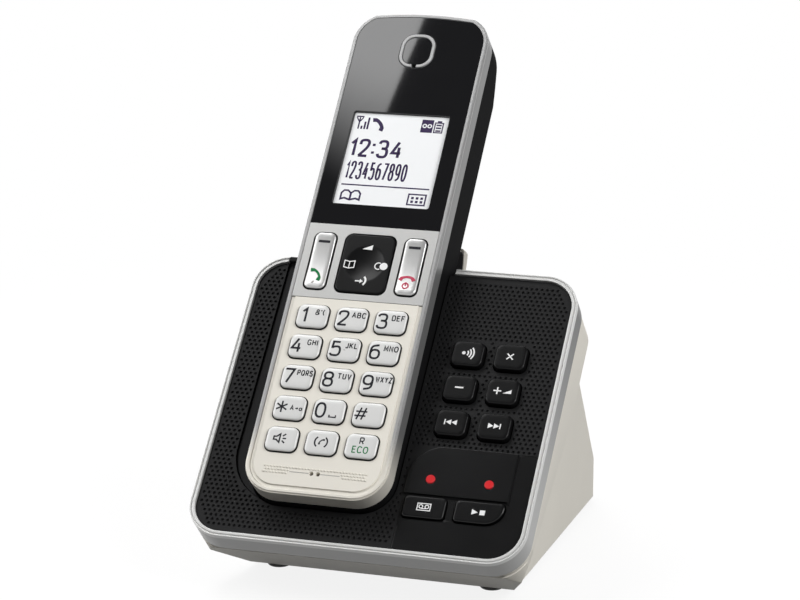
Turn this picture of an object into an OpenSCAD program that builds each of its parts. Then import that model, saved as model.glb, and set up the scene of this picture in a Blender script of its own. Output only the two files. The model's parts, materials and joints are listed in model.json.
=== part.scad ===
// Cordless telephone: a handset docked in the cradle of its answering-machine base.
// Millimetres, +Z up, front towards -Y. The origin is on the table, below the middle of the whole object.

/* [Panel] */
// Width of the sloping panel over its silver rim
panel_w = 112; // [108:1:124]
// Length of the sloping panel along its slope
panel_l = 105; // [100:1:116]
// Slope of the panel from level, in degrees
panel_tilt = 45; // [42:1:49]
// Height of the panel's lower edge above the table
panel_lift = 20.5; // [19:0.5:25]
// Corner radius of the panel
panel_r = 12; // [9:0.5:15]
// Thickness of the black panel plate
panel_t = 2.4; // [2:0.1:3]
// Wall of the silver rim
rim_t = 1.8; // [1.4:0.1:2.4]
// Height of the rim above the panel's face
rim_rise = 0.9; // [0.5:0.1:1.5]
// Depth of the rim's side band
rim_d = 8; // [6.5:0.5:10]
// Width and thickness of the ledge inside the rim that carries the panel
ledge = 2; // [1.5:0.1:2.5]

/* [Stand] */
// Depth of the slab behind the panel's face
slab_d = 25; // [23:0.5:28]
// Rounding of the slab's back edge
slab_r = 5; // [3:0.5:7]
// Wall of the housing
housing_t = 2.2; // [1.8:0.1:2.6]
// Width of the stand's footprint
stand_w = 91; // [84:1:100]
// Depth of the stand's footprint
stand_depth = 107; // [100:1:116]
// Distance from the panel's lower edge back to the footprint
stand_front = 32; // [28:1:36]
// Corner radius of the footprint
stand_r = 8; // [6:0.5:11]
// Height of the upright foot of the rear wall
rear_foot = 7; // [5:0.5:10]
// Drop of the stand's ridge behind the slab
ridge_drop = 6; // [5:0.5:9]
// Radius of the stand's ridge
ridge_r = 5; // [4:0.5:7]
// Thickness of the bottom cover
bottom_t = 2; // [1.6:0.1:2.6]
// Diameter of a rubber foot
foot_dia = 8; // [6:0.5:10]
// Height of a rubber foot
foot_h = 1.5; // [1:0.1:2.5]
// Distance of the feet from the sides of the footprint
foot_side = 9; // [7.5:0.5:11]
// Distance of the feet from the front and rear edges of the footprint
foot_edge = 4.6; // [4.3:0.1:6]

/* [Jack bay] */
// Width of the bay for the sockets in the rear wall
bay_w = 46; // [42:1:54]
// Height of the bay's roof above the bottom cover
bay_h = 19; // [17.5:0.5:22]
// Depth of the bay
bay_d = 17; // [15:0.5:20]
// Width of the modular line socket's body
line_w = 13; // [12:0.2:15]
// Width of the socket's opening
line_hole_w = 9.7; // [9.4:0.1:10]
// Height of the socket's opening
line_hole_h = 6.9; // [6.6:0.1:7.2]
// Depth of the socket's opening
line_hole_d = 11; // [9:0.5:12]
// Width of the direct-current socket's body
dc_w = 9; // [8:0.2:11]
// Bore of the direct-current socket
dc_bore = 5.6; // [5:0.1:6.4]
// Diameter of the pin in the direct-current socket
dc_pin = 1.7; // [1.2:0.1:2.1]

/* [Cradle] */
// Middle of the handset across the panel
handset_x = -13.6; // [-16:0.2:-12]
// Lean of the handset beyond the panel's slope, in degrees
handset_lean = 3; // [2:0.5:4]
// Height of the handset's face above the panel, at the panel's lower edge
seat_h = 8.9; // [8:0.1:10.5]
// Distance along the slope from the panel's lower edge to the handset's foot
seat_up = 13; // [12:0.5:16]
// Gap between handset and cradle
seat_gap = 0.5; // [0.4:0.05:0.7]
// Wall of the cradle tray
cradle_t = 1.8; // [1.5:0.1:2.2]
// Width of the smooth shoulder on the left of the tray
shoulder_w = 7.2; // [5:0.2:8]
// Height of the tray's tab above the panel
lip_rise = 1.2; // [0.8:0.1:1.8]
// Rise of the back rest beyond the panel's upper edge
rest_l = 13.2; // [10:0.2:18]
// Corner radius of the back rest
rest_r = 8.2; // [6:0.2:12]
// Width of a charging contact
contact_w = 4; // [3:0.2:5]
// Distance of the charging contacts from the handset's middle
contact_x = 8; // [6:0.5:11]

/* [Base keys] */
// Width of a small base key
bkey_w = 10.6; // [9.6:0.1:11.4]
// Length of a small base key
bkey_l = 9.2; // [8.2:0.1:10]
// Gap between small base keys across the panel
bkey_gap_x = 3.7; // [3.2:0.1:4.6]
// Gap between small base keys up the panel
bkey_gap_y = 3.6; // [3.2:0.1:4.4]
// Distance from the cradle to the first column of small keys
bkey_off = 5.8; // [5.4:0.1:7]
// Height up the panel of the lowest row of small keys
bkey_y = 47.5; // [46.5:0.5:51]
// Height of a base key above the panel
bkey_rise = 2.2; // [1.6:0.1:3]
// Travel of a base key
bkey_travel = 1.2; // [0.8:0.1:1.4]
// Top of the control plate, up the panel
ctrl_top = 39; // [37:0.5:41]
// Radius of the control plate's upper left corner
ctrl_r = 10.6; // [8:0.2:12]
// Panel left between cradle and control plate
ctrl_strip = 0.9; // [0.7:0.1:1.5]
// Width of the raised display leaf on the control plate
leaf_w = 34; // [32:0.5:36]
// Rise of the display leaf above the panel
leaf_rise = 1; // [0.6:0.1:1.6]
// Lower edge of the two large keys, up the panel
wide_y = 13.6; // [12:0.2:15]
// Length of the large keys up the panel
wide_l = 7.4; // [6.6:0.1:8.4]
// Width of the left large key
wide_left_w = 13.7; // [12:0.1:14.4]
// Width of the right large key
wide_right_w = 15.8; // [14:0.1:16.2]
// Radius of the right large key's outer corner
wide_r = 6; // [4:0.2:6.4]
// Diameter of a lamp window
lamp_dia = 3; // [2:0.1:4]

/* [Handset] */
// Width of the handset
hs_w = 48; // [46:0.5:50]
// Length of the handset
hs_l = 182; // [176:1:190]
// Thickness of the handset
hs_t = 26; // [25:0.5:28]
// Radius of the handset's upper corners
hs_r_top = 11.5; // [9:0.5:14]
// Radius of the handset's lower corners
hs_r_low = 11; // [9:0.5:14]
// Radius of the crown along the handset's upper end
crown_r = 130; // [100:5:200]
// Rounding of the handset's back
back_r = 8; // [6:0.5:9]
// Length over which the back curves up to the upper end
back_sweep = 52; // [48:1:54]
// Height to which the back curves up at the upper end
back_rise = 16.5; // [14:0.5:17]
// Depth of the silver side band
band_h = 7; // [6.6:0.1:8]
// Wall of the side band
band_t = 1.5; // [1.2:0.1:1.8]
// Thickness of the plates on the handset's face
face_t = 2; // [1.8:0.1:2.4]
// Wall of the back case
case_t = 1.8; // [1.5:0.1:2.1]
// Thickness of the circuit boards
board_t = 1.6; // [1.2:0.1:2]
// Lower edge of the silver function plate, from the handset's foot
func_y = 70; // [69:0.5:73]
// Lower edge of the display lens, from the handset's foot
lens_y = 97.8; // [96.5:0.2:102]
// Width of the display window
lcd_w = 33.6; // [31:0.2:36]
// Length of the display window
lcd_l = 36; // [33:0.5:38]
// Distance from the lens's lower edge to the display window
lcd_up = 8; // [6:0.2:10]
// Depth of the display below the lens's face
lcd_deep = 0.9; // [0.6:0.1:1.4]
// Width of the earpiece ring
ear_w = 12; // [10:0.2:14]
// Length of the earpiece ring
ear_l = 13.2; // [11:0.2:15]
// Wall of the earpiece ring
ear_t = 1.1; // [0.8:0.1:1.5]
// Distance of the earpiece's middle from the handset's upper end
ear_down = 15.2; // [14:0.2:18]

/* [Keypad] */
// Width of a number key
key_w = 10.5; // [9.6:0.1:10.9]
// Length of a number key
key_l = 8.4; // [7.6:0.1:9]
// Gap between number keys across the handset
key_gap_x = 2.85; // [2.6:0.05:3.2]
// Gap between number keys along the handset
key_gap_y = 2.72; // [2.5:0.05:2.9]
// Middle of the lowest row of keys, from the handset's foot
key_y = 18.3; // [17.5:0.1:19]
// Height of a number key above the face
key_rise = 1; // [0.7:0.1:1.3]
// Travel of a number key
key_travel = 0.8; // [0.5:0.05:0.9]
// Width of a long rocker key
long_w = 7.2; // [6.4:0.1:8]
// Length of a long rocker key
long_l = 20.8; // [19:0.2:21.6]
// Distance of the long keys from the handset's middle
long_x = 15.6; // [15.4:0.1:16.4]
// Width of the navigation key
nav_w = 17; // [15.5:0.1:17.6]
// Length of the navigation key
nav_l = 21.4; // [19:0.2:22]
// Middle of the navigation and long keys, from the handset's foot
nav_y = 83.6; // [83:0.1:84.2]
// Height of the long keys above the face
long_rise = 0.9; // [0.6:0.1:1.3]
// Depth of the dish in the navigation key
nav_dish = 0.9; // [0.5:0.1:1.2]

/* [Battery] */
// Diameter of a cell
cell_dia = 10.5; // [10:0.1:10.8]
// Length of a cell
cell_l = 44.5; // [43:0.5:46]
// Foot of the cells, from the handset's foot
cell_y = 36; // [33:0.5:40]
// Width of the battery cover
cover_w = 31; // [29:0.5:32]
// Lower edge of the battery cover, from the handset's foot
cover_y = 17; // [15:0.5:20]
// Length of the battery cover
cover_l = 78; // [74:1:84]
// Thickness of the battery cover
cover_t = 1.6; // [1.3:0.1:1.9]
// Travel of the battery cover towards the handset's foot
cover_travel = 9; // [7:0.5:10]

/* [Fits] */
// Gap between parts that are fixed together
fit = 0.1; // [0.05:0.01:0.15]
// Gap round keys and other parts that move
run = 0.35; // [0.3:0.01:0.4]
// Width of the flange that keeps a key behind its plate
flange = 0.8; // [0.6:0.05:0.9]
// Thickness of a key's flange
flange_t = 0.9; // [0.7:0.05:1.1]

/* [Hidden] */
$fn = 48;

thin = 0.1;
far = 300;
stand_z = foot_h;
// Middle of the whole object, back from the panel's lower edge, and of the footprint
front_y = (stand_front + stand_depth - rim_rise*sin(panel_tilt))/2;
stand_y = stand_front + stand_depth/2 - front_y;

// Housing
// Overshoot of a rounding past the face it runs out into
over = 0.4;
slab_in = 0.3;
under_step = 0.2;
// Side walls below the rim: how fast they draw in, and how far their upper edge turns from the rim
flank_k = 0.42;
flank_turn = 12;
wedge_top = panel_l*0.65;
// Front of the footprint in the panel's frame
foot_v = stand_front*cos(panel_tilt) + (stand_z - panel_lift)*sin(panel_tilt);
foot_n = (stand_z - panel_lift)*cos(panel_tilt) - stand_front*sin(panel_tilt);
under_k = (foot_v - slab_in)/(foot_n + rim_d);
rib_t = 2;
groove = rim_t/4;
vent_w = 2;
vent_l = 24;
vent_pitch = 5;

// Sides of the cradle tray, across the panel
tray_half = hs_w/2 + seat_gap;
tray_floor = hs_t + seat_gap;
tray_right = handset_x + tray_half + cradle_t;
tray_left = handset_x - tray_half - shoulder_w;
// Rounding of the tray's lower edges, clear of the handset's own
tray_r = back_r - over;
// Sunk shoulder on the tray's left
shoulder_r = hs_r_low + seat_gap + shoulder_w;
shelf_drop = 0.8;
// Wall of the cream shell behind the back rest
rest_t = 1.2;

// Charging contacts
contact_l = 5;
// Middle of the contacts, clear of the panel's plate
contact_z = seat_h + panel_t + contact_l/2 + 1;
contact_t = 0.8;
tail_w = 2;
leaf_t = 0.5;
nose_r = 1.1;
nose_gap = 0.3;

// Columns and rows of the base keys
bkey_px = bkey_w + bkey_gap_x;
bkey_py = bkey_l + bkey_gap_y;
bkey_x = tray_right + bkey_off + bkey_w/2;
bkey_low = panel_t + run + flange_t;
pad_gap = 0.3;
pad_dia = 5;
pad_h = 0.7;
mat_t = 1.2;
mat_top = bkey_low + bkey_travel + pad_gap;
board_top = mat_top + mat_t;

// Control plate, its leaf and its two large keys
ctrl_x = tray_right + ctrl_strip;
wide_flange = 0.5;
wide_in = 0.5;
wide_x = ctrl_x + wide_in + run;
wide_gap = 3.2;
wide_rise = leaf_rise;
wide_small_r = 1.2;
wide_mid = wide_y + wide_l/2;
wide_left_x = wide_x + wide_left_w/2;
wide_right_x = wide_x + wide_left_w + wide_gap + wide_right_w/2;
leaf_gap = 0.8;
leaf_y = wide_y + wide_l + leaf_gap;
lamp_up = 5.4;
lamp_y = leaf_y + lamp_up;
lamp_x = [wide_left_x, wide_right_x + wide_right_w*0.08];
lamp_rise = 0.3;
lamp_foot = 1;
ledge_t = 1;
ledge_in = 1;

// Base circuit board and what stands on it
board_gap = 1;
board_x = [tray_right + board_gap, panel_w/2 - rim_t - ledge - 2*board_gap];
board_y = [rim_t + ledge + 2*board_gap, bkey_y + 2*bkey_py + bkey_l/2 + flange + board_gap];
post_dia = 3;
post_in = 2.4;
can_x = 4;
can_y = 22;
can_w = 20;
can_l = 16;
can_h = 3;
cap_in = 6;
cap_y = 10;
cap_pitch = 9;
cap_dia = 7;
cap_h = 9;

// Speaker behind the panel's upper right corner
speaker_gap = 0.6;
speaker_dia = panel_l - rim_t - ledge - board_y[1] - 2*speaker_gap;
speaker_x = bkey_x + bkey_px/2;
speaker_y = panel_l - rim_t - ledge - speaker_gap - speaker_dia/2;

// Sockets in the jack bay
line_at = bay_w/4;
dc_at = -bay_w/4;
line_wall = 3;
line_back = 2;
line_h = line_hole_h + 2*line_wall;
line_nose = 3;
line_body_d = line_hole_d + line_nose + line_back;
latch_h = 1.6;
dc_h = 11;
dc_body_d = 12;
socket_floor = 1.2;

// Layers below the handset's face
face_in = band_t + fit;
band_edge = 0.6;
hs_ledge = 0.8;
hs_ledge_t = 1.2;
bezel_step = 0.5;
bezel_margin = 1.2;
key_px = key_w + key_gap_x;
key_py = key_l + key_gap_y;
key_low = face_t + run + flange_t;
pad_top = key_low + key_travel + pad_gap;
hs_mat_t = 1.2;
hs_board = pad_top + hs_mat_t;
board_low = hs_board + board_t;
board_in = 3.6;
mat_half = hs_w/2 - band_t - hs_ledge - 2;

// Tilting keys: their flanges hang lower, and their holes are wider
rock_run = run + 0.15;
rocker_drop = 0.7;
nav_drop = 1;
long_low = face_t + rocker_drop + flange_t;
long_r = 2;
long_flange = 0.6;
nav_low = face_t + nav_drop + flange_t;
nav_r = 2.4;
nav_flange = 0.6;
nav_rise = 0.5;
nav_gap = 0.3;
nav_edge = 1.5;
rocker_t = 0.5;
rocker_dia = 9;

// Display, earpiece and microphone
lcd_y = lens_y + lcd_up;
lcd_frame = 2;
lcd_r = 0.8;
ear_y = hs_l - ear_down;
ear_r = 4.8;
ear_deep = 0.8;
ear_rise = 0.35;
ear_slot = 1.6;
receiver_dia = 14;
mic_x = 1.1;
mic_y = 7.6;
mic_dia = 5;
mic_hole = 1.4;
// Lower end of the key mat, clear of the microphone
mat_y = mic_y + mic_dia/2 + 1;

// Battery compartment, cover and channel in the handset's back
cell_gap = 1;
cell_nub = 0.9;
nub_dia = 3.8;
spring_w = 8;
coil_r = 3.2;
coil_tip = 1.6;
button_r = 2.6;
button_tip = 1.8;
cell_z = hs_t - cover_t - run - 0.3 - cell_dia/2;
bay_wall = 1.5;
bay_half = cell_dia + cell_gap/2 + 0.4;
bay_end = 2.4;
bay_floor = cell_z - cell_dia/2 - 0.3;
channel_floor = hs_t - cover_t - run;
cover_r = 3;
cover_lip = 0.45;
tongue = 1.1;
tongue_in = 4;
grip_w = 16;
grip_down = 9;
grip_pitch = 2.4;
grip_l = 1.2;
grip_deep = 0.5;

// Ringer behind slots in the handset's back
ringer_dia = 20;
ringer_h = 4.5;
ringer_up = 23;
ringer_y = cover_y + cover_l + ringer_up;
slot_l = 12;
slot_w = 1.2;
slot_pitch = 2.8;

// Screws
screw_head = 5;
screw_shank = 2.1;
screw_hole = 2.2;
screw_l = 9;
head_t = 1.2;
boss_dia = 7;
boss_cap = 3;
cross_l = 3.2;
cross_w = 0.8;
cross_d = 0.8;
screw_in = foot_edge + foot_dia/2 + boss_dia/2 + 1;
case_screw_x = 15.5;
case_screw_up = 9;
case_screw = [case_screw_x, cover_y + cover_l + case_screw_up];
head_deep = 2.8;
head_z = hs_t - head_deep;

// Places of the posts that carry the handset's board
post_drop = 8;
ear_post = 14;
post_places = [case_screw, [case_screw[0] + 1, cell_y - post_drop], [hs_w/4, ear_y - ear_post]];

// Key outlines
key_r = 2.2;
cap_edge = 0.45;

// Frames of reference

// The panel: X across, Y up the slope, Z out of its face
module on_panel() {
    translate([0, -front_y, panel_lift]) rotate([panel_tilt, 0, 0]) children();
}

// The docked handset: X across, Y along it from its foot, Z out of its face
module on_handset() {
    on_panel() translate([handset_x, 0, seat_h]) rotate([handset_lean, 0, 0])
        translate([0, seat_up, 0]) children();
}

// Outlines

// Rounded rectangle, centred on X, standing on y = 0
module round_rect(w, l, r) {
    translate([-w/2 + r, 0]) square([w - 2*r, l]);
    translate([-w/2, r]) square([w, l - 2*r]);
    for (x = [r - w/2, w/2 - r], y = [r, l - r])
        translate([x, y]) circle(r);
}

module plate(w, l, r, low, high) {
    translate([0, 0, low]) linear_extrude(high - low) round_rect(w, l, r);
}

// Outline of the panel, drawn in from its edge
module panel_outline(inset) {
    translate([0, inset]) round_rect(panel_w - 2*inset, panel_l - 2*inset, panel_r - inset);
}

// Outline of the handset, drawn in from its edge and cut short at its upper end
module case_outline(inset, pull = 0) {
    w = hs_w - 2*inset;
    l = hs_l - 2*inset - pull;
    top = max(hs_r_top - inset, 1);
    low = max(hs_r_low - inset, 1);
    translate([0, inset]) intersection() {
        union() {
            translate([-w/2, low]) square([w, l - low - top]);
            translate([low - w/2, 0]) square([w - 2*low, l - top]);
            translate([top - w/2, low]) square([w - 2*top, l - low]);
            for (s = [-1, 1]) {
                translate([s*(w/2 - low), low]) circle(low);
                translate([s*(w/2 - top), l - top]) circle(top);
            }
        }
        translate([0, l - crown_r]) circle(crown_r, $fn = 4*$fn);
    }
}

// Flat drawing in (y, z), drawn out along X
module along_x(w) {
    rotate([90, 0, 90]) linear_extrude(w, center = true) children();
}

// Flat drawing in (x, z), drawn out along Y
module along_y(l) {
    rotate([90, 0, 0]) linear_extrude(l, center = true) children();
}

// Section of a trough that is open upwards, with rounded lower edges
module trough(half, deep, r) {
    translate([-half, r - deep]) square([2*half, far]);
    translate([r - half, -deep]) square([2*half - 2*r, far]);
    for (s = [-1, 1])
        translate([s*(half - r), r - deep]) circle(r);
}

// Side view of the handset's back: rounded at the foot, sweeping up to the upper end
module case_side(inset) {
    low = inset - over;
    floor_z = inset - hs_t;
    r = back_r - inset;
    sweep_y = hs_l - back_sweep;
    sweep_r = (back_sweep*back_sweep + back_rise*back_rise)/(2*back_rise);
    translate([low + r, floor_z]) square([sweep_y - low - r, hs_t]);
    translate([low, floor_z + r]) square([sweep_y - low, hs_t]);
    translate([low + r, floor_z + r]) circle(r);
    intersection() {
        translate([sweep_y, sweep_r - hs_t]) circle(sweep_r - inset, $fn = 240);
        translate([sweep_y - 1, -2*hs_t]) square([far, 3*hs_t]);
    }
}

// Bulk of the handset's back, drawn in from its skin
module case_bulk(inset, high) {
    intersection() {
        translate([0, 0, -2*hs_t]) linear_extrude(2*hs_t + high) case_outline(inset);
        along_y(3*far) trough(hs_w/2 - inset + over, hs_t - inset + over, back_r - inset);
        along_x(far) case_side(inset);
    }
}

// Key with rounded corners, a softened edge and a flange behind its plate; z = 0 is the plate's face
module key(w, l, rise, low, r = key_r, grow = flange) {
    edge = min(cap_edge, rise/2);
    hull() {
        translate([0, -l/2, 0]) plate(w, l, r, -low, rise - edge, $fn = 24);
        translate([0, edge - l/2, rise - thin]) linear_extrude(thin)
            round_rect(w - 2*edge, l - 2*edge, r - edge, $fn = 24);
    }
    translate([0, -l/2 - grow, -low]) plate(w + 2*grow, l + 2*grow, r + grow, 0, flange_t);
}

// Hole for a key through a plate
module key_hole(w, l, r = key_r, gap = run) {
    translate([0, -l/2 - gap, -far/2]) plate(w + 2*gap, l + 2*gap, r + gap, 0, far);
}

// Base housing

// Point of the panel's frame in the (y, z) plane
function panel_point(v, n) = [v*cos(panel_tilt) - n*sin(panel_tilt) - front_y,
    panel_lift + v*sin(panel_tilt) + n*cos(panel_tilt)];

// Touching point on a circle of the line drawn from p
function tangent(p, c, r, side) = let (d = p - c, a = atan2(d[1], d[0]) + side*acos(r/norm(d)))
    c + r*[cos(a), sin(a)];

// Underside of the base, up the panel, at a depth below its face
function under_v(n, inset) = slab_in + inset + under_k*(n + rim_d);

// Depth below the panel's face at which the underside comes down to a height
function under_n(z, inset) = (z - panel_lift - (slab_in + inset + under_k*rim_d)*sin(panel_tilt))
    / (under_k*sin(panel_tilt) + cos(panel_tilt));

// Side view of the slab in the panel's frame
module slab_side(inset) {
    top = panel_l - slab_in - inset + over;
    low = inset - slab_d;
    in = inset + under_step;
    intersection() {
        union() {
            translate([-far, low]) square([far + top - slab_r, far]);
            translate([-far, low + slab_r]) square([far + top, far]);
            translate([top - slab_r, low + slab_r]) circle(slab_r);
        }
        polygon([[under_v(slab_d, in), slab_d], [far, slab_d], [far, -2*slab_d],
            [under_v(-2*slab_d, in), -2*slab_d]]);
    }
}

// Side walls that draw in from the rim to the footprint, and from deeper the higher up the panel
module flanks(inset) {
    wide = panel_w/2 - slab_in - inset + over;
    narrow = stand_w/2 - inset;
    deep = (wide - narrow)/flank_k;
    translate([0, slab_in, -rim_d]) rotate([-flank_turn, 0, 0]) along_y(3*far)
        polygon([[-wide, far], [-wide, 0], [-narrow, -deep], [-narrow, -far], [narrow, -far], [narrow, -deep],
            [wide, 0], [wide, far]]);
}

// Slab behind the panel, with a rounded back edge
module slab_bulk(inset, high) {
    on_panel() intersection() {
        translate([0, 0, -2*slab_d]) linear_extrude(2*slab_d + high) panel_outline(inset + slab_in);
        along_y(3*far) trough(panel_w/2 - slab_in - inset + over, slab_d - inset + over, slab_r);
        along_x(far) slab_side(inset);
        flanks(inset);
    }
}

// Side view of the wedge stand
module stand_side(inset, low) {
    toe = under_n(low, inset);
    rear = stand_y + stand_depth/2 - inset;
    ridge = panel_point(panel_l - slab_r, -slab_d - ridge_drop);
    heel = [rear, stand_z + rear_foot];
    neck = panel_point(wedge_top, slab_r - slab_d);
    r = ridge_r - inset;
    inside = -rim_d - 2;
    polygon([panel_point(under_v(inside, inset), inside), panel_point(under_v(toe, inset), toe), [rear, low],
        heel, tangent(heel, ridge, r, 1), tangent(neck, ridge, r, -1), neck,
        panel_point(wedge_top, inside)]);
    translate(ridge) circle(r);
}

// The stand as seen up the panel's slope: as wide as the slab, then narrower
module stand_section(inset) {
    wide = panel_w/2 - slab_in - 2*over - inset;
    narrow = stand_w/2 - inset;
    neck = slab_r - slab_d;
    polygon([[-wide, 0], [-wide, neck], [-narrow, foot_n], [-narrow, -far], [narrow, -far], [narrow, foot_n],
        [wide, neck], [wide, 0]]);
}

// Plan of the stand, with its rear corners rounded
module stand_plan(inset) {
    half = stand_w/2 - inset + over;
    rear = stand_y + stand_depth/2 - inset + over;
    r = stand_r - inset;
    translate([-far/2, -far]) square([far, far + rear - 3*stand_r]);
    translate([-half, -far]) square([2*half, far + rear - r]);
    translate([r - half, -far]) square([2*half - 2*r, far + rear]);
    for (s = [-1, 1])
        translate([s*(half - r), rear - r]) circle(r);
}

// Wedge of the stand, from the slab down to the footprint
module stand_bulk(inset, low) {
    intersection() {
        along_x(2*far) stand_side(inset, low);
        on_panel() along_y(3*far) stand_section(inset);
        on_panel() flanks(inset);
        on_panel() translate([0, slab_in + inset - over, -far]) linear_extrude(2*far)
            trough(panel_w/2 - slab_in - inset, 0, panel_r - slab_in - inset);
        translate([0, 0, -far/2]) linear_extrude(far) stand_plan(inset);
    }
}

// Tray of the cradle as seen along the handset, grown by g; open upwards
module tray_section(g) {
    trough(tray_half + g, tray_floor + g, tray_r + g);
}

// Space of the cradle tray, grown by g, running out past the upper edge
module tray_space(g) {
    low = seat_gap + g;
    r = hs_r_low + seat_gap + g;
    intersection() {
        translate([0, far, 0]) rotate([90, 0, 0]) linear_extrude(far + low) tray_section(g);
        translate([0, -low, -far/2]) plate(2*tray_half + 2*g, 2*far, r, 0, far);
    }
}

// Trim of the tray and its back rest, seen from the side along the panel
module tray_side(lip) {
    top = panel_l + 2*rest_l;
    on_panel() rotate([90, 0, 90]) translate([0, 0, -far/2]) linear_extrude(far)
        polygon([[-far/4, -far/4], [-far/4, lip], [panel_l, lip], [panel_l + rest_l*0.45, -seat_h],
            [top, -seat_h - rest_l/3], [top, -far/4]]);
}

// Outline of the back rest, seen square to the handset
module rest_outline(g) {
    w = 2*tray_half + 2*g;
    top = panel_l + rest_l + g - seat_up;
    translate([0, -far/2, -far/2]) plate(w, top + far/2, rest_r + g, 0, far);
}

// Box of the jack bay, grown by a wall
module jack_bay(wall) {
    translate([-bay_w/2 - wall, stand_y + stand_depth/2 - bay_d - wall, stand_z + bottom_t])
        cube([bay_w + 2*wall, far, bay_h + wall]);
}

// Middle of a socket's foot on the bottom cover, at the bay's inner wall
module socket_at(x) {
    translate([x, stand_y + stand_depth/2 - bay_d, stand_z + bottom_t]) children();
}

// Screw places on the bottom cover
module at_screws() {
    for (sx = [-1, 1], sy = [-1, 1])
        translate([sx*(stand_w/2 - foot_side), stand_y + sy*(stand_depth/2 - screw_in), 0]) children();
}

module at_feet() {
    for (sx = [-1, 1], sy = [-1, 1])
        translate([sx*(stand_w/2 - foot_side), stand_y + sy*(stand_depth/2 - foot_edge), 0]) children();
}

// Bosses for the bottom screws, on a rib that runs from the front wall to the rear wall
module housing_bosses() {
    low = stand_z + bottom_t;
    at_screws() translate([0, 0, low]) cylinder(d = boss_dia, h = screw_l + boss_cap);
    for (s = [-1, 1])
        translate([s*(stand_w/2 - foot_side) - rib_t/2, -far/2, low]) cube([rib_t, far, screw_l]);
}

// Cream shell behind the cradle's back rest
module rest_shell() {
    g = cradle_t + fit + rest_t;
    intersection() {
        on_handset() intersection() {
            tray_space(g);
            rest_outline(g);
            translate([-far/2, panel_l - seat_up - slab_r - housing_t, -far]) cube([far, far, 2*far]);
        }
        tray_side(-rim_d - 1);
    }
}

module rear_housing() {
    color("#d8d4c8") difference() {
        union() {
            difference() {
                union() {
                    slab_bulk(0, -rim_d);
                    stand_bulk(0, stand_z);
                }
                slab_bulk(housing_t, 1 - rim_d);
                stand_bulk(housing_t, -1);
            }
            intersection() {
                union() {
                    jack_bay(housing_t);
                    housing_bosses();
                }
                stand_bulk(housing_t/2, stand_z);
            }
            rest_shell();
        }
        on_handset() tray_space(cradle_t + fit);
        jack_bay(0);
        socket_at(line_at) translate([-line_w/2 - fit, -2*housing_t, 0])
            cube([line_w + 2*fit, bay_d, line_h + fit]);
        socket_at(dc_at) translate([-dc_w/2 - fit, -2*housing_t, 0])
            cube([dc_w + 2*fit, bay_d, dc_h + fit]);
        at_screws() cylinder(d = screw_hole, h = stand_z + bottom_t + screw_l);
    }
}

module bottom_cover() {
    color("#c9c5ba") difference() {
        intersection() {
            stand_bulk(housing_t + fit, -1);
            translate([-far/2, -far/2, stand_z]) cube([far, far, bottom_t]);
        }
        at_screws() cylinder(d = screw_head + 2*fit, h = stand_z + head_t);
        at_screws() cylinder(d = screw_shank + 2*fit, h = far);
        for (i = [-3 : 3])
            translate([i*vent_pitch - vent_w/2, stand_y - vent_l/2, 0]) cube([vent_w, vent_l, far]);
    }
}

module rubber_feet() {
    color("#3a3a3a") at_feet() {
        cylinder(d1 = foot_dia - 1, d2 = foot_dia, h = foot_h/3);
        translate([0, 0, foot_h/3]) cylinder(d = foot_dia, h = foot_h - foot_h/3);
    }
}

module screw() {
    cylinder(d = screw_head, h = head_t - fit);
    cylinder(d = screw_shank, h = screw_l);
}

module base_screws() {
    color("silver") at_screws() translate([0, 0, stand_z + fit]) difference() {
        screw();
        for (a = [0, 90])
            rotate(a) translate([-cross_l/2, -cross_w/2, -1]) cube([cross_l, cross_w, 1 + cross_d]);
    }
}

module rim_trim() {
    color("#c4c6c8") on_panel() difference() {
        union() {
            translate([0, 0, -rim_d]) linear_extrude(rim_d + rim_rise) difference() {
                panel_outline(0);
                panel_outline(rim_t);
            }
            translate([0, 0, -panel_t - ledge]) linear_extrude(ledge) difference() {
                panel_outline(rim_t/2);
                panel_outline(rim_t + ledge);
            }
        }
        translate([0, 0, rim_rise - groove]) linear_extrude(far) difference() {
            panel_outline(groove);
            panel_outline(2*groove);
        }
        translate([tray_left - fit, panel_l - rim_t - ledge - 1, -far/2])
            cube([tray_right - tray_left + 2*fit, far, far]);
    }
}

// Outline of the control plate, grown by g where it meets the panel
module ctrl_outline(g) {
    intersection() {
        panel_outline(rim_t + fit);
        union() {
            translate([ctrl_x - g, -far]) square([far, far + ctrl_top - ctrl_r]);
            translate([ctrl_x + ctrl_r, -far]) square([far, far + ctrl_top + g]);
            translate([ctrl_x + ctrl_r, ctrl_top - ctrl_r]) circle(ctrl_r + g);
        }
    }
}

// Middle of a small base key, by column and row
function bkey_at(column, row) = [bkey_x + column*bkey_px, bkey_y + row*bkey_py, 0];

module at_small_keys() {
    for (column = [0, 1], row = [0 : 2])
        translate(bkey_at(column, row)) children();
}

// Posts that carry the base board, at its upper or lower corners
module board_posts(side, dia) {
    y = side > 0 ? board_y[1] - post_in : board_y[0] + post_in;
    for (x = [board_x[0] + post_in, board_x[1] - post_in])
        translate([x, y, -board_top]) cylinder(d = dia, h = board_top);
}

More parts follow.
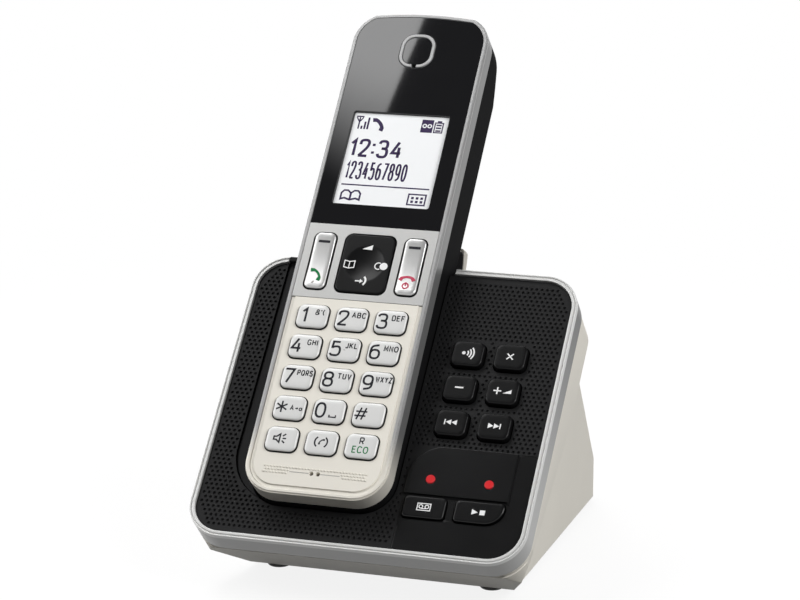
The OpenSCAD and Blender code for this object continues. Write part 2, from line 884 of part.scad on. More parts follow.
module front_panel() {
    color("#2b2b2b") difference() {
        union() {
            on_panel() translate([0, 0, -panel_t]) linear_extrude(panel_t) difference() {
                panel_outline(rim_t + fit);
                ctrl_outline(fit);
            }
            on_panel() board_posts(1, post_dia);
            // Ledge under the control plate's upper edge
            on_panel() translate([0, 0, -panel_t - ledge_t]) linear_extrude(ledge_t) difference() {
                intersection() {
                    ctrl_outline(ledge);
                    panel_outline(rim_t + ledge + fit);
                    translate([-panel_w, leaf_y]) square(2*panel_w);
                }
                ctrl_outline(-ledge_in);
            }
        }
        on_panel() at_small_keys() key_hole(bkey_w, bkey_l);
        on_handset() tray_space(0);
        // Room for the cradle's wall, which stands under the panel
        intersection() {
            on_handset() tray_space(cradle_t + fit);
            on_panel() translate([-far/2, -far/2, -panel_t - far]) cube([far, far, far]);
        }
        on_panel() translate([0, 0, -far/2]) linear_extrude(far) shoulder_plan(fit);
    }
}

// Plan of the shoulder on the left of the tray, grown by g; it runs out at the tray's foot
module shoulder_plan(g) {
    low = (seat_up - seat_gap)/cos(handset_lean) + seat_h*tan(handset_lean) + 2*over;
    w = handset_x - tray_left;
    intersection() {
        translate([handset_x, low - g]) round_rect(2*w + 2*g, far, shoulder_r + g);
        translate([-far, -far]) square([far + handset_x, 3*far]);
    }
}

// Smooth shoulder, sunk below the panel's face, with a tab that closes the gap in the rim
module tray_shoulder() {
    on_panel() {
        translate([0, 0, -panel_t - ledge_t]) linear_extrude(panel_t + ledge_t - shelf_drop) intersection() {
            shoulder_plan(0);
            translate([-panel_w, 0]) square([2*panel_w, panel_l]);
        }
        translate([tray_left, panel_l - rim_t, -rim_d]) cube([shoulder_w, rim_t, rim_d + lip_rise]);
    }
}

module cradle_liner() {
    color("#1d1d1e") difference() {
        union() {
            intersection() {
                on_handset() intersection() {
                    tray_space(cradle_t);
                    rest_outline(cradle_t);
                }
                tray_side(-panel_t - fit);
            }
            tray_shoulder();
        }
        on_handset() tray_space(0);
        on_handset() for (s = [-1, 1])
            translate([s*contact_x - contact_w/2 - fit, -seat_gap - 2*cradle_t, -contact_z - nose_r - fit])
                cube([contact_w + 2*fit, far/10, 2*nose_r + 2*fit]);
    }
}

// Sprung contacts that reach through the tray's foot
module cradle_contacts() {
    back = -seat_gap - cradle_t;
    color("gold") on_handset() for (s = [-1, 1])
        translate([s*contact_x - contact_w/2, 0, -contact_z]) {
            translate([0, back - leaf_t, -contact_l/2]) cube([contact_w, leaf_t, contact_l]);
            translate([0, back - leaf_t, -nose_r/2]) cube([contact_w, leaf_t + cradle_t, nose_r]);
            translate([0, -nose_gap - nose_r, 0]) rotate([0, 90, 0]) cylinder(r = nose_r, h = contact_w);
        }
}

// Rectangle with one large corner at its lower right
module corner_rect(w, l, r, big) {
    intersection() {
        round_rect(w, l, r);
        union() {
            translate([-w, -l]) square([w + w/2 - big, 3*l]);
            translate([-w, big]) square([3*w, l]);
            translate([w/2 - big, big]) circle(big);
        }
    }
}

module control_plate() {
    color("#161617") on_panel() difference() {
        union() {
            translate([0, 0, -panel_t]) linear_extrude(panel_t) ctrl_outline(0);
            translate([0, 0, -panel_t]) linear_extrude(panel_t + leaf_rise) intersection() {
                ctrl_outline(0);
                translate([ctrl_x, leaf_y]) square([leaf_w, far]);
            }
            board_posts(-1, post_dia);
        }
        translate([wide_left_x, wide_mid, 0]) key_hole(wide_left_w, wide_l, wide_small_r);
        translate([wide_right_x, wide_y - run, -far/2]) linear_extrude(far)
            corner_rect(wide_right_w + 2*run, wide_l + 2*run, wide_small_r + run, wide_r + run);
        for (x = lamp_x)
            translate([x, lamp_y, -far/2]) cylinder(d = lamp_dia + 2*fit, h = far);
    }
}

module lamp_windows() {
    color("red") on_panel() for (x = lamp_x)
        translate([x, lamp_y, -panel_t]) {
            cylinder(d = lamp_dia, h = panel_t + leaf_rise + lamp_rise);
            translate([0, 0, -lamp_foot]) cylinder(d = lamp_dia + 2, h = lamp_foot);
        }
}

module base_board() {
    color("#2f6b3a") on_panel() {
        translate([board_x[0], board_y[0], -board_top - board_t])
            cube([board_x[1] - board_x[0], board_y[1] - board_y[0], board_t]);
        // Radio can and two capacitors behind the board
        translate([board_x[0] + can_x, board_y[0] + can_y, -board_top - board_t - can_h])
            cube([can_w, can_l, can_h]);
        for (i = [0, 1])
            translate([board_x[1] - cap_in, board_y[0] + cap_y + cap_pitch*i, -board_top - board_t - cap_h])
                cylinder(d = cap_dia, h = cap_h);
    }
}

module base_key_mat() {
    color("#8f9296") on_panel() difference() {
        union() {
            translate([board_x[0] + 1, board_y[0] + 1, -board_top])
                cube([board_x[1] - board_x[0] - 2, board_y[1] - board_y[0] - 2, mat_t - pad_h]);
            at_small_keys() translate([0, 0, -board_top]) cylinder(d = pad_dia, h = mat_t);
            for (x = [wide_left_x, wide_right_x])
                translate([x, wide_mid, -board_top]) cylinder(d = pad_dia, h = mat_t);
        }
        for (side = [-1, 1])
            board_posts(side, post_dia + 2*fit);
    }
}

module base_speaker() {
    r = speaker_dia/2;
    color("#4a4a4c") on_panel() translate([speaker_x, speaker_y, -panel_t]) rotate([180, 0, 0])
        rotate_extrude() polygon(r*[[0, 0.14], [0.35, 0.14], [0.85, 0.05], [0.9, 0], [1, 0], [1, 0.24],
            [0.62, 0.42], [0.62, 0.76], [0, 0.76]]);
}

module line_jack() {
    color("#222222") socket_at(line_at) difference() {
        translate([-line_w/2, line_nose - line_body_d, 0]) cube([line_w, line_body_d, line_h]);
        translate([-line_hole_w/2, line_nose - line_hole_d, (line_h - line_hole_h)/2])
            cube([line_hole_w, far, line_hole_h]);
        translate([-line_hole_w/4, line_nose - line_hole_d, (line_h - line_hole_h)/2 - latch_h])
            cube([line_hole_w/2, far, 2*latch_h]);
    }
}

module dc_jack() {
    color("#1a1a1a") socket_at(dc_at) translate([0, line_nose - dc_body_d, 0]) {
        difference() {
            translate([-dc_w/2, 0, 0]) cube([dc_w, dc_body_d, dc_h]);
            translate([0, dc_body_d + 1, dc_h/2]) rotate([90, 0, 0])
                cylinder(d = dc_bore, h = dc_body_d + 1 - socket_floor);
        }
        translate([0, dc_body_d - 1, dc_h/2]) rotate([90, 0, 0])
            cylinder(d = dc_pin, h = dc_body_d - 1 - socket_floor/2);
    }
}

module small_key(column, row) {
    color("#262627") on_panel() translate(bkey_at(column, row)) key(bkey_w, bkey_l, bkey_rise, bkey_low);
}

module key_answer() {
    color("#202021") on_panel() translate([wide_left_x, wide_mid, 0])
        key(wide_left_w, wide_l, wide_rise, bkey_low, wide_small_r, wide_flange);
}

module key_play() {
    edge = cap_edge;
    color("#202021") on_panel() translate([wide_right_x, wide_y, 0]) {
        hull() {
            translate([0, 0, -bkey_low]) linear_extrude(bkey_low + wide_rise - edge)
                corner_rect(wide_right_w, wide_l, wide_small_r, wide_r, $fn = 32);
            translate([0, edge, wide_rise - thin]) linear_extrude(thin)
                corner_rect(wide_right_w - 2*edge, wide_l - 2*edge, wide_small_r - edge/2, wide_r - edge,
                    $fn = 32);
        }
        translate([0, -wide_flange, -bkey_low]) linear_extrude(flange_t)
            corner_rect(wide_right_w + 2*wide_flange, wide_l + 2*wide_flange, wide_small_r + wide_flange,
                wide_r + wide_flange);
    }
}

// Handset

module side_band() {
    color("#c0c2c4") on_handset() {
        translate([0, 0, -band_h]) linear_extrude(band_h - band_edge) difference() {
            case_outline(0);
            case_outline(band_t);
        }
        translate([0, 0, -band_edge]) linear_extrude(band_edge) difference() {
            case_outline(band_edge*0.8);
            case_outline(band_t);
        }
        translate([0, 0, -face_t - hs_ledge_t]) linear_extrude(hs_ledge_t) difference() {
            case_outline(band_t/2);
            case_outline(band_t + hs_ledge);
        }
    }
}

// Stretch of the handset's face between two heights, inside the side band
module face_outline(low, high, inset = face_in) {
    intersection() {
        case_outline(inset);
        translate([-hs_w, low]) square([2*hs_w, high - low]);
    }
}

// Middle of a number key, by column and row from the top
function key_at(column, row) = [column*key_px, key_y + (4 - row)*key_py, 0];

module at_keys() {
    for (column = [-1 : 1], row = [0 : 4])
        translate(key_at(column, row)) children();
}

module keypad_bezel() {
    color("#e6e2d8") on_handset() difference() {
        union() {
            translate([0, 0, -face_t]) linear_extrude(face_t - bezel_step) face_outline(0, func_y - fit/2);
            translate([0, 0, -face_t]) linear_extrude(face_t)
                face_outline(0, func_y - fit/2, face_in + bezel_margin);
        }
        at_keys() key_hole(key_w, key_l);
        for (s = [-1, 1])
            translate([s*mic_x, mic_y, -far/2]) cylinder(d = mic_hole, h = far);
    }
}

module function_plate() {
    color("#c2c4c6") on_handset() difference() {
        translate([0, 0, -face_t]) linear_extrude(face_t) face_outline(func_y + fit/2, lens_y - fit/2);
        for (s = [-1, 1])
            translate([s*long_x, nav_y, 0]) key_hole(long_w, long_l, long_r, rock_run);
        translate([0, nav_y, 0]) key_hole(nav_w, nav_l, nav_r, rock_run);
    }
}

// Outline of the earpiece ring's outer edge
module ear_outline(inset) {
    translate([0, ear_y - ear_l/2 + inset]) round_rect(ear_w - 2*inset, ear_l - 2*inset, ear_r - inset);
}

module screen_lens() {
    color("#101011") on_handset() difference() {
        translate([0, 0, -face_t]) linear_extrude(face_t) face_outline(lens_y + fit/2, hs_l);
        translate([0, lcd_y, -far/2]) plate(lcd_w, lcd_l, lcd_r, 0, far);
        translate([0, 0, -ear_deep]) linear_extrude(far) difference() {
            ear_outline(-fit);
            ear_outline(ear_t + fit);
        }
        translate([0, ear_y - ear_l/2 + ear_t/2, -far/2]) linear_extrude(far)
            translate([-ear_slot/2, -ear_t/2]) square([ear_slot, ear_t]);
    }
}

module lcd_module() {
    color("#eef0ee") on_handset() {
        translate([0, lcd_y - lcd_frame, -hs_board])
            plate(lcd_w + 2*lcd_frame, lcd_l + 2*lcd_frame, lcd_r, 0, hs_board - face_t - fit);
        translate([0, lcd_y + fit, -hs_board])
            plate(lcd_w - 2*fit, lcd_l - 2*fit, lcd_r - fit, 0, hs_board - lcd_deep);
    }
}

module earpiece_ring() {
    color("#d0d2d4") on_handset() difference() {
        translate([0, 0, -ear_deep]) linear_extrude(ear_deep + ear_rise) difference() {
            ear_outline(0);
            ear_outline(ear_t);
        }
        translate([-ear_slot/2, ear_y - ear_l, -far/2]) cube([ear_slot, ear_l, far]);
    }
}

module receiver() {
    color("#555558") on_handset() translate([0, ear_y, -hs_board])
        cylinder(d = receiver_dia, h = hs_board - face_t - fit);
}

module microphone() {
    color("#77787a") on_handset() translate([0, mic_y, -hs_board])
        cylinder(d = mic_dia, h = hs_board - face_t - fit);
}

module handset_board() {
    color("#2f6b3a") on_handset() translate([0, 0, -board_low]) linear_extrude(board_t)
        case_outline(board_in);
}

module key_mat() {
    color("#9a9da0") on_handset() {
        difference() {
            translate([0, mat_y, -hs_board])
                plate(2*mat_half, lens_y - lcd_frame - mat_y, key_r, 0, hs_mat_t - pad_h);
            translate([0, nav_y, -far/2]) cylinder(d = rocker_dia + 2, h = far);
        }
        at_keys() translate([0, 0, -hs_board]) cylinder(d = pad_dia, h = hs_mat_t);
        for (s = [-1, 1], e = [-1, 1])
            translate([s*long_x, nav_y + e*(long_l/2 - pad_dia/2), -hs_board])
                cylinder(d = pad_dia, h = hs_mat_t);
    }
}

// Channel that the battery cover slides in
module cover_channel() {
    low = cover_y - cover_travel - run;
    translate([0, low, -far]) plate(cover_w + 2*run, cover_l + cover_travel + 2*run, cover_r + run, 0,
        far - channel_floor);
    translate([-cover_w/2 - tongue - run, low + tongue_in, -hs_t + cover_lip])
        cube([cover_w + 2*tongue + 2*run, cover_l + cover_travel + 2*run - 2*tongue_in,
            hs_t - cover_lip - channel_floor]);
}

// Compartment for the cells, or its space
module cell_bay(wall) {
    translate([-bay_half - wall, cell_y - bay_end - wall, -hs_t])
        cube([2*(bay_half + wall), cell_l + 2*(bay_end + wall), hs_t - bay_floor + wall]);
}

module back_case() {
    channel_half = cover_w/2 + tongue + run + bay_wall;
    channel_low = cover_y - cover_travel - run - bay_wall;
    color("#1b1b1c") on_handset() difference() {
        union() {
            difference() {
                case_bulk(0, -band_h);
                case_bulk(case_t, 1 - band_h);
            }
            intersection() {
                case_bulk(case_t/2, -board_low);
                union() {
                    translate([-channel_half, channel_low, -hs_t])
                        cube([2*channel_half, cover_l + cover_travel + 2*run + 2*bay_wall,
                            hs_t - channel_floor + bay_wall]);
                    cell_bay(bay_wall);
                    for (p = post_places, s = [-1, 1])
                        translate([s*p[0], p[1], -hs_t]) cylinder(d = boss_dia, h = hs_t - board_low);
                }
            }
        }
        cover_channel();
        cell_bay(0);
        for (s = [-1, 1]) {
            translate([s*case_screw_x, case_screw[1], -far])
                cylinder(d = screw_head + 4*fit, h = far - head_z);
            translate([s*case_screw_x, case_screw[1], -far])
                cylinder(d = screw_hole, h = far - head_z + screw_l);
            translate([s*contact_x - contact_w/2 - fit, -1, -contact_z - contact_l/2 - fit])
                cube([contact_w + 2*fit, 1 + contact_t + fit, contact_l + 2*fit]);
            translate([s*contact_x - tail_w/2 - fit, 0, -contact_z - tail_w/2 - fit])
                cube([tail_w + 2*fit, 2*case_t, tail_w + 2*fit]);
        }
        for (i = [-2 : 2])
            translate([-slot_l/2, ringer_y + i*slot_pitch - slot_w/2, -far])
                cube([slot_l, slot_w, far - hs_t + 2*case_t]);
    }
}

module ringer() {
    color("#4a4a4c") on_handset() translate([0, ringer_y, case_t - hs_t])
        cylinder(d = ringer_dia, h = ringer_h);
}

module battery_cells() {
    color("#2f7f4f") on_handset() for (s = [-1, 1])
        translate([s*(cell_dia + cell_gap)/2, cell_y + cell_l, -cell_z]) rotate([90, 0, 0]) {
            translate([0, 0, cell_nub]) cylinder(d = cell_dia, h = cell_l - cell_nub);
            cylinder(d = nub_dia, h = cell_nub + 1);
        }
}

module battery_springs() {
    low = cell_y - bay_end;
    high = cell_y + cell_l + bay_end;
    color("silver") on_handset() for (s = [-1, 1])
        translate([s*(cell_dia + cell_gap)/2, 0, -cell_z]) {
            translate([-spring_w/2, low, -spring_w/2]) cube([spring_w, leaf_t, spring_w]);
            translate([0, low, 0]) rotate([-90, 0, 0])
                cylinder(r1 = coil_r, r2 = coil_tip, h = bay_end - fit);
            translate([-spring_w/2, high - leaf_t, -spring_w/2]) cube([spring_w, leaf_t, spring_w]);
            translate([0, high, 0]) rotate([90, 0, 0])
                cylinder(r1 = button_r, r2 = button_tip, h = bay_end - fit);
        }
}

module charge_contacts() {
    color("gold") on_handset() for (s = [-1, 1])
        translate([s*contact_x, 0, -contact_z]) {
            translate([-contact_w/2, 0, -contact_l/2]) cube([contact_w, contact_t, contact_l]);
            translate([-tail_w/2, 0, -tail_w/2]) cube([tail_w, case_t + 1, tail_w]);
        }
}

module case_screws() {
    color("silver") on_handset() for (s = [-1, 1])
        translate([s*case_screw_x, case_screw[1], -head_z - head_t + fit]) screw();
}

module battery_cover() {
    color("#1b1b1c") on_handset() difference() {
        union() {
            translate([0, cover_y, -hs_t]) plate(cover_w, cover_l, cover_r, 0, cover_t);
            translate([-cover_w/2 - tongue, cover_y + tongue_in + cover_r, -hs_t + cover_lip + run])
                cube([cover_w + 2*tongue, cover_l - 2*tongue_in - 2*cover_r, cover_t - cover_lip - run]);
        }
        for (i = [0 : 4])
            translate([-grip_w/2 + abs(i - 2), cover_y + cover_l - grip_down - i*grip_pitch, -hs_t - 1])
                cube([grip_w - 2*abs(i - 2), grip_l, 1 + grip_deep]);
    }
}

module nav_rocker() {
    color("#6a6c70") on_handset() translate([0, nav_y, -nav_low - nav_gap - rocker_t])
        cylinder(d = rocker_dia, h = rocker_t);
}

module nav_key() {
    reach = nav_w/2 - nav_edge;
    ball = (reach*reach + nav_dish*nav_dish)/(2*nav_dish);
    color("#1c1c1d") on_handset() translate([0, nav_y, 0]) difference() {
        key(nav_w, nav_l, nav_rise, nav_low, nav_r, nav_flange);
        translate([0, 0, nav_rise + ball - nav_dish]) sphere(ball, $fn = 96);
    }
}

module long_key(side) {
    color("#d4d5d6") on_handset() translate([side*long_x, nav_y, 0])
        key(long_w, long_l, long_rise, long_low, long_r, long_flange);
}

module number_key(column, row) {
    color("#dcdcdc") on_handset() translate(key_at(column, row)) key(key_w, key_l, key_rise, key_low);
}

rear_housing();
bottom_cover();
rubber_feet();
base_screws();
rim_trim();
front_panel();
cradle_liner();
cradle_contacts();
control_plate();
lamp_windows();
base_board();
base_key_mat();
base_speaker();
line_jack();
dc_jack();
small_key(0, 2);  // key_locate
small_key(1, 2);  // key_erase
small_key(0, 1);  // key_volume_down
small_key(1, 1);  // key_volume_up
small_key(0, 0);  // key_skip_back
small_key(1, 0);  // key_skip_forward
key_answer();
key_play();
side_band();
keypad_bezel();
function_plate();
screen_lens();
lcd_module();
earpiece_ring();
receiver();
handset_board();
key_mat();
back_case();
ringer();
microphone();
battery_cells();
battery_springs();
charge_contacts();
case_screws();
battery_cover();
nav_rocker();
nav_key();
long_key(-1);  // talk_key
long_key(1);  // off_key
number_key(-1, 0);  // key_1
number_key(0, 0);  // key_2
number_key(1, 0);  // key_3
number_key(-1, 1);  // key_4
number_key(0, 1);  // key_5
number_key(1, 1);  // key_6
number_key(-1, 2);  // key_7
number_key(0, 2);  // key_8
number_key(1, 2);  // key_9
number_key(-1, 3);  // key_star
number_key(0, 3);  // key_0
number_key(1, 3);  // key_hash
number_key(-1, 4);  // key_speaker
number_key(0, 4);  // key_intercom
number_key(1, 4);  // key_recall
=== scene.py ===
"""Looks of a cordless phone in its answering-machine base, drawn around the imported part."""

import json
import math

import bpy
from mathutils import Matrix, Vector


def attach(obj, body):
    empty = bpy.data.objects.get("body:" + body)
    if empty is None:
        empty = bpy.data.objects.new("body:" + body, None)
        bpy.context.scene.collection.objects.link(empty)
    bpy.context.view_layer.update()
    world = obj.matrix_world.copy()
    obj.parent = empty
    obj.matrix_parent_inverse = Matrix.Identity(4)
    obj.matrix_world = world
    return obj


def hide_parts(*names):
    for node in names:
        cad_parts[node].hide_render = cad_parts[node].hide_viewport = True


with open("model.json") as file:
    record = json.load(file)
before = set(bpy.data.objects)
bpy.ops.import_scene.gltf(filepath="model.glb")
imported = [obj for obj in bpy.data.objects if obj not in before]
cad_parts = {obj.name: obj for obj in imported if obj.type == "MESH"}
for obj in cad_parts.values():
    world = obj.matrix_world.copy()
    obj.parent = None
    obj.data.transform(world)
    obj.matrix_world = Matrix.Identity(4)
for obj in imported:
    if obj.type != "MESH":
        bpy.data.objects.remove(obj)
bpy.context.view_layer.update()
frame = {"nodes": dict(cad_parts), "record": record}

bl_info = {
    "name": "Cordless Phone",
    "version": (1, 0, 0),
    "blender": (4, 5, 0),
    "location": "3D View > Sidebar > Phone",
    "description": "Draws the shells, keys, legends and display of a cordless phone and its base",
    "category": "Object",
}

# Frames of the two faces. Pieces are drawn in millimetres on a face, and then set in place.
MM = 0.001
FRONT_Y = 69.1818
PANEL_LIFT = 20.5
PANEL_TILT = math.radians(45)
LEAN = math.radians(3)
HANDSET_X = -13.6
SEAT_H = 8.9
SEAT_UP = 13.0
ON_PANEL = (Matrix.Scale(MM, 4) @ Matrix.Translation((0, -FRONT_Y, PANEL_LIFT))
            @ Matrix.Rotation(PANEL_TILT, 4, "X"))
ON_HANDSET = (ON_PANEL @ Matrix.Translation((HANDSET_X, 0, SEAT_H)) @ Matrix.Rotation(LEAN, 4, "X")
              @ Matrix.Translation((0, SEAT_UP, 0)))

# Panel, in its own frame
PANEL_W, PANEL_L, PANEL_R = 112.0, 105.0, 12.0
TRAY_LEFT, TRAY_RIGHT, TRAY_FOOT, TRAY_R = -38.1, 10.9, 12.98, 11.5
SHELF_LEFT, SHELF_FOOT, SHELF_R = -45.45, 13.78, 18.85
BASE_KEY_W, BASE_KEY_L, BASE_KEY_RISE, BASE_KEY_LOW = 10.6, 9.2, 2.2, 3.65
BASE_KEY_X, BASE_KEY_Y, BASE_KEY_PX, BASE_KEY_PY = 23.8, 47.5, 14.3, 12.8
BASE_KEY_R, BASE_KEY_HOLLOW = 2.2, ((0.9, 0.0),)
CTRL_X, CTRL_TOP = 13.6, 39.0
LEAF_W, LEAF_Y, LEAF_RISE = 34.0, 21.8, 1.0
WIDE_X, WIDE_Y, WIDE_L = 14.45, 13.6, 7.4
WIDE_LEFT_W, WIDE_RIGHT_W, WIDE_GAP, WIDE_BIG_R = 13.7, 15.8, 3.2, 6.0
WIDE_R, WIDE_EDGE, WIDE_FLANGE, WIDE_HOLLOW = 1.2, 0.4, 0.5, ((0.8, 0.0),)

# Handset, in its own frame
KEY_W, KEY_L, KEY_RISE, KEY_LOW, KEY_R = 10.5, 8.4, 1.0, 3.25, 2.2
KEY_Y, KEY_PX, KEY_PY, KEY_EDGE_SHARE = 18.3, 13.35, 11.12, 0.8
LONG_W, LONG_L, LONG_X, LONG_RISE, LONG_LOW = 7.2, 20.8, 15.6, 0.9, 3.6
LONG_R, LONG_EDGE, LONG_FLANGE, LONG_DIP = 2.0, 0.6, 0.6, 0.55
NAV_Y, NAV_RISE = 83.6, 0.5
FLANGE, FLANGE_T = 0.8, 0.9
FACE_HALF, FACE_LOW = 20.6, 12.0
LCD_L, LCD_Y, LCD_DEEP = 36.0, 105.8, 0.9

# Ground that the dimples leave clear beside the rim, cradle, shoulder, control plate and keys
RIM_CLEAR, TRAY_CLEAR, SHELF_CLEAR, CTRL_CLEAR, KEY_CLEAR = 3.4, 0.95, 0.85, 1.0, 1.1
DIMPLE_ROWS, DIMPLE_H, DIMPLE_DEEP = 0.88, 0.6, 0.5

# Modelling: doubles are merged within these distances, in a drawn piece and in a copied node
MERGE, MERGE_COPY = 0.0005, 0.000002
FLAT_ANGLE, BEVEL_ANGLE, SMOOTH_ANGLE, PANEL_ANGLE = map(math.radians, (0.6, 38.0, 32.0, 25.0))
CORNER_STEPS, ROUND_STEPS, RING_STEPS, SADDLE_STEPS = 6, 4, 20, 12
KEY_HOLLOW = ((0.5, 0.06), (0.6, 0.03))
KEY_CROWN = sum(rise for _, rise in KEY_HOLLOW)

# Finishes
GRAIN_DEPTH, FLAKE_DEPTH, FLAKE_SCALE, LACQUER = 0.00004, 0.00002, 9000.0, 0.12
# Painted shade: the dark tone laid into the gaps around the handset's keys
GAP_SHADE_TONE = (0.02, 0.02, 0.02, 1)
WHITE = (1, 1, 1, 1)

# Lettering, in the units of the glyphs
GLYPH_H, GLYPH_SPACE, MITRE = 6, 1.1, 0.4

# Stage, in metres, degrees and watts
CAMERA_PLACE, CAMERA_AZIMUTH, CAMERA_ELEVATION = (0.27755, -0.87241, 0.31411), 17.96, 14.05
SENSOR, LENS, CLIP_START = 36.0, 128.63, 0.01
FLOOR_SIZE, FLOOR_Z = 14, -0.0002
ROOM_LIGHT = 0.22
LAMP_TARGET = Vector((0, 0, 0.08))
LAMPS = (("fill_light", (0.95, -0.35, 0.75), 0.6, 11.0),
         ("front_light", (-0.9, -0.35, 0.8), 0.6, 5.5),
         ("back_light", (-0.35, 1.05, 0.85), 0.8, 10.0))
SOFTBOX_W, SOFTBOX_L, SOFTBOX_POWER = 0.5, 0.7, 7.0
SOFTBOX_CORNER, SOFTBOX_SHIFT = Vector((-0.387, -0.301, 1.232)), 0.282
SOFTBOX_ACROSS = Vector((0.908, -0.381, 0.187)).normalized()
SOFTBOX_ALONG = Vector((0.294, 0.883, 0.371)).normalized()

BODY_OF = {n: b for b, nodes in frame["record"]["behaviour"]["bodies"].items() for n in nodes}


def length(name, description, default, least):
    """A length property, for the group of sizes."""
    return bpy.props.FloatProperty(name=name, description=description + ", in millimetres",
                                   default=default, min=least)


def colour(name, description, default):
    """A colour property, for the group of finishes."""
    return bpy.props.FloatVectorProperty(name=name, description=description, subtype="COLOR",
                                         size=3, min=0, max=1, default=default)


class PhoneSizes(bpy.types.PropertyGroup):
    """Sizes that a user would change."""
    shell_edge: length("Shell edge", "Rounding of the shells' edges", 0.25, 0.05)
    key_edge: length("Key edge", "Rounding of the keys' edges", 0.7, 0.1)
    ink: length("Ink", "Thickness of the printed legends", 0.03, 0.01)
    dimple_pitch: length("Dimple pitch", "Distance between dimples in the panel", 1.75, 1.2)
    dimple_width: length("Dimple width", "Width of a dimple in the panel", 1.1, 0.4)


class PhoneColours(bpy.types.PropertyGroup):
    """Colours of the finishes."""
    cream: colour("Cream", "Moulded body, keypad bezel and the band's foot", (0.74, 0.71, 0.64))
    silver: colour("Silver", "Painted top of the rim", (0.62, 0.62, 0.61))
    # The rim's side and upper-end tones are painted shade: darker copies of its silver
    rim_side_shaded: colour("Rim side", "Painted side of the rim", (0.36, 0.36, 0.355))
    rim_upper_shade: colour("Rim back", "Painted side of the rim at its upper end", (0.06, 0.06, 0.06))
    # The band's side tone is painted shade, darker than its edge by the face
    band: colour("Band", "Painted edge of the handset's band", (0.36, 0.36, 0.36))
    band_side_shaded: colour("Band side", "Painted side of the handset's band", (0.18, 0.18, 0.18))
    plate: colour("Plate", "Painted plate around the function keys", (0.50, 0.50, 0.49))
    charcoal: colour("Charcoal", "Dimpled panel and cradle", (0.010, 0.010, 0.0105))
    black: colour("Black", "Sockets, base keys and small inner pieces", (0.004, 0.004, 0.0043))
    case: colour("Case", "Back case of the handset", (0.0085, 0.0085, 0.009))
    satin: colour("Satin black", "Control plate and navigation key", (0.0045, 0.0045, 0.0048))
    lens: colour("Lens", "Polished lens", (0.006, 0.006, 0.007))
    key: colour("Key", "Number keys", (0.66, 0.66, 0.65))
    long_key: colour("Long key", "Talk and hang-up keys", (0.56, 0.56, 0.555))
    display: colour("Display", "Lit display", (0.77, 0.78, 0.79))
    ink_dark: colour("Dark ink", "Legends on the handset's keys", (0.02, 0.02, 0.025))
    # ink_grey is print on the talk key's tick, and painted shade for the mouthpiece's groove
    ink_grey: colour("Grey ink", "Mouthpiece lines and talk key's tick", (0.36, 0.35, 0.33))
    ink_light: colour("Light ink", "Signs on the black keys", (0.82, 0.82, 0.82))
    ink_display: colour("Display ink", "Marks on the display", (0.035, 0.02, 0.07))
    ink_green: colour("Green ink", "Talk and saving signs", (0.008, 0.17, 0.05))
    ink_red: colour("Red ink", "Hang-up sign", (0.50, 0.06, 0.11))
    lamp: colour("Lamp", "Lamp windows", (0.62, 0.015, 0.02))


# Finishes

def maths(operation, swapped=False):
    """A method that adds a Math node for a field and another field or number."""
    def method(self, other):
        pair = (other, self) if swapped else (self, other)
        return self.finish.node("Math", dict(enumerate(pair)), operation=operation)
    return method


class Field:
    """A socket of a finish. Sums and products of fields and numbers add Math nodes."""

    def __init__(self, finish, socket):
        self.finish = finish
        self.socket = socket

    __add__ = __radd__ = maths("ADD")
    __mul__ = __rmul__ = maths("MULTIPLY")
    __sub__ = maths("SUBTRACT")
    __rsub__ = maths("SUBTRACT", True)
    __gt__ = maths("GREATER_THAN")
    __lt__ = maths("LESS_THAN")


class Nodes:
    """A node tree, and a way to add nodes to it."""

    def __init__(self, tree):
        self.tree = tree
        tree.nodes.clear()

    def feed(self, node, sockets):
        """Sets or links a node's sockets, by name or number."""
        for key, value in sockets.items():
            if isinstance(value, Field):
                self.tree.links.new(value.socket, node.inputs[key])
            else:
                node.inputs[key].default_value = value

    def node(self, kind, sockets=None, output=0, **settings):
        """Adds a shader node, with its settings first, and gives one of its outputs, if any."""
        node = self.tree.nodes.new("ShaderNode" + kind)
        for key, value in settings.items():
            setattr(node, key, value)
        self.feed(node, sockets or {})
        return Field(self, node.outputs[output]) if node.outputs else None

    def part(self, vector, axis):
        """One axis of a vector."""
        return self.node("SeparateXYZ", {0: vector}, axis)

    def smooth(self, value, start, end, low=0.0, high=1.0):
        """Goes smoothly from low to high between two levels of a value."""
        return self.node("MapRange", {"Value": value, "From Min": start, "From Max": end,
                                      "To Min": low, "To Max": high},
                         interpolation_type="SMOOTHSTEP")

    def seen(self):
        """Whether a ray is the camera's, and whether it comes from gloss or through glass."""
        camera, glossy, glass = (self.node("LightPath", output=ray) for ray in
                                 ("Is Camera Ray", "Is Glossy Ray", "Is Transmission Ray"))
        return camera, glossy + glass


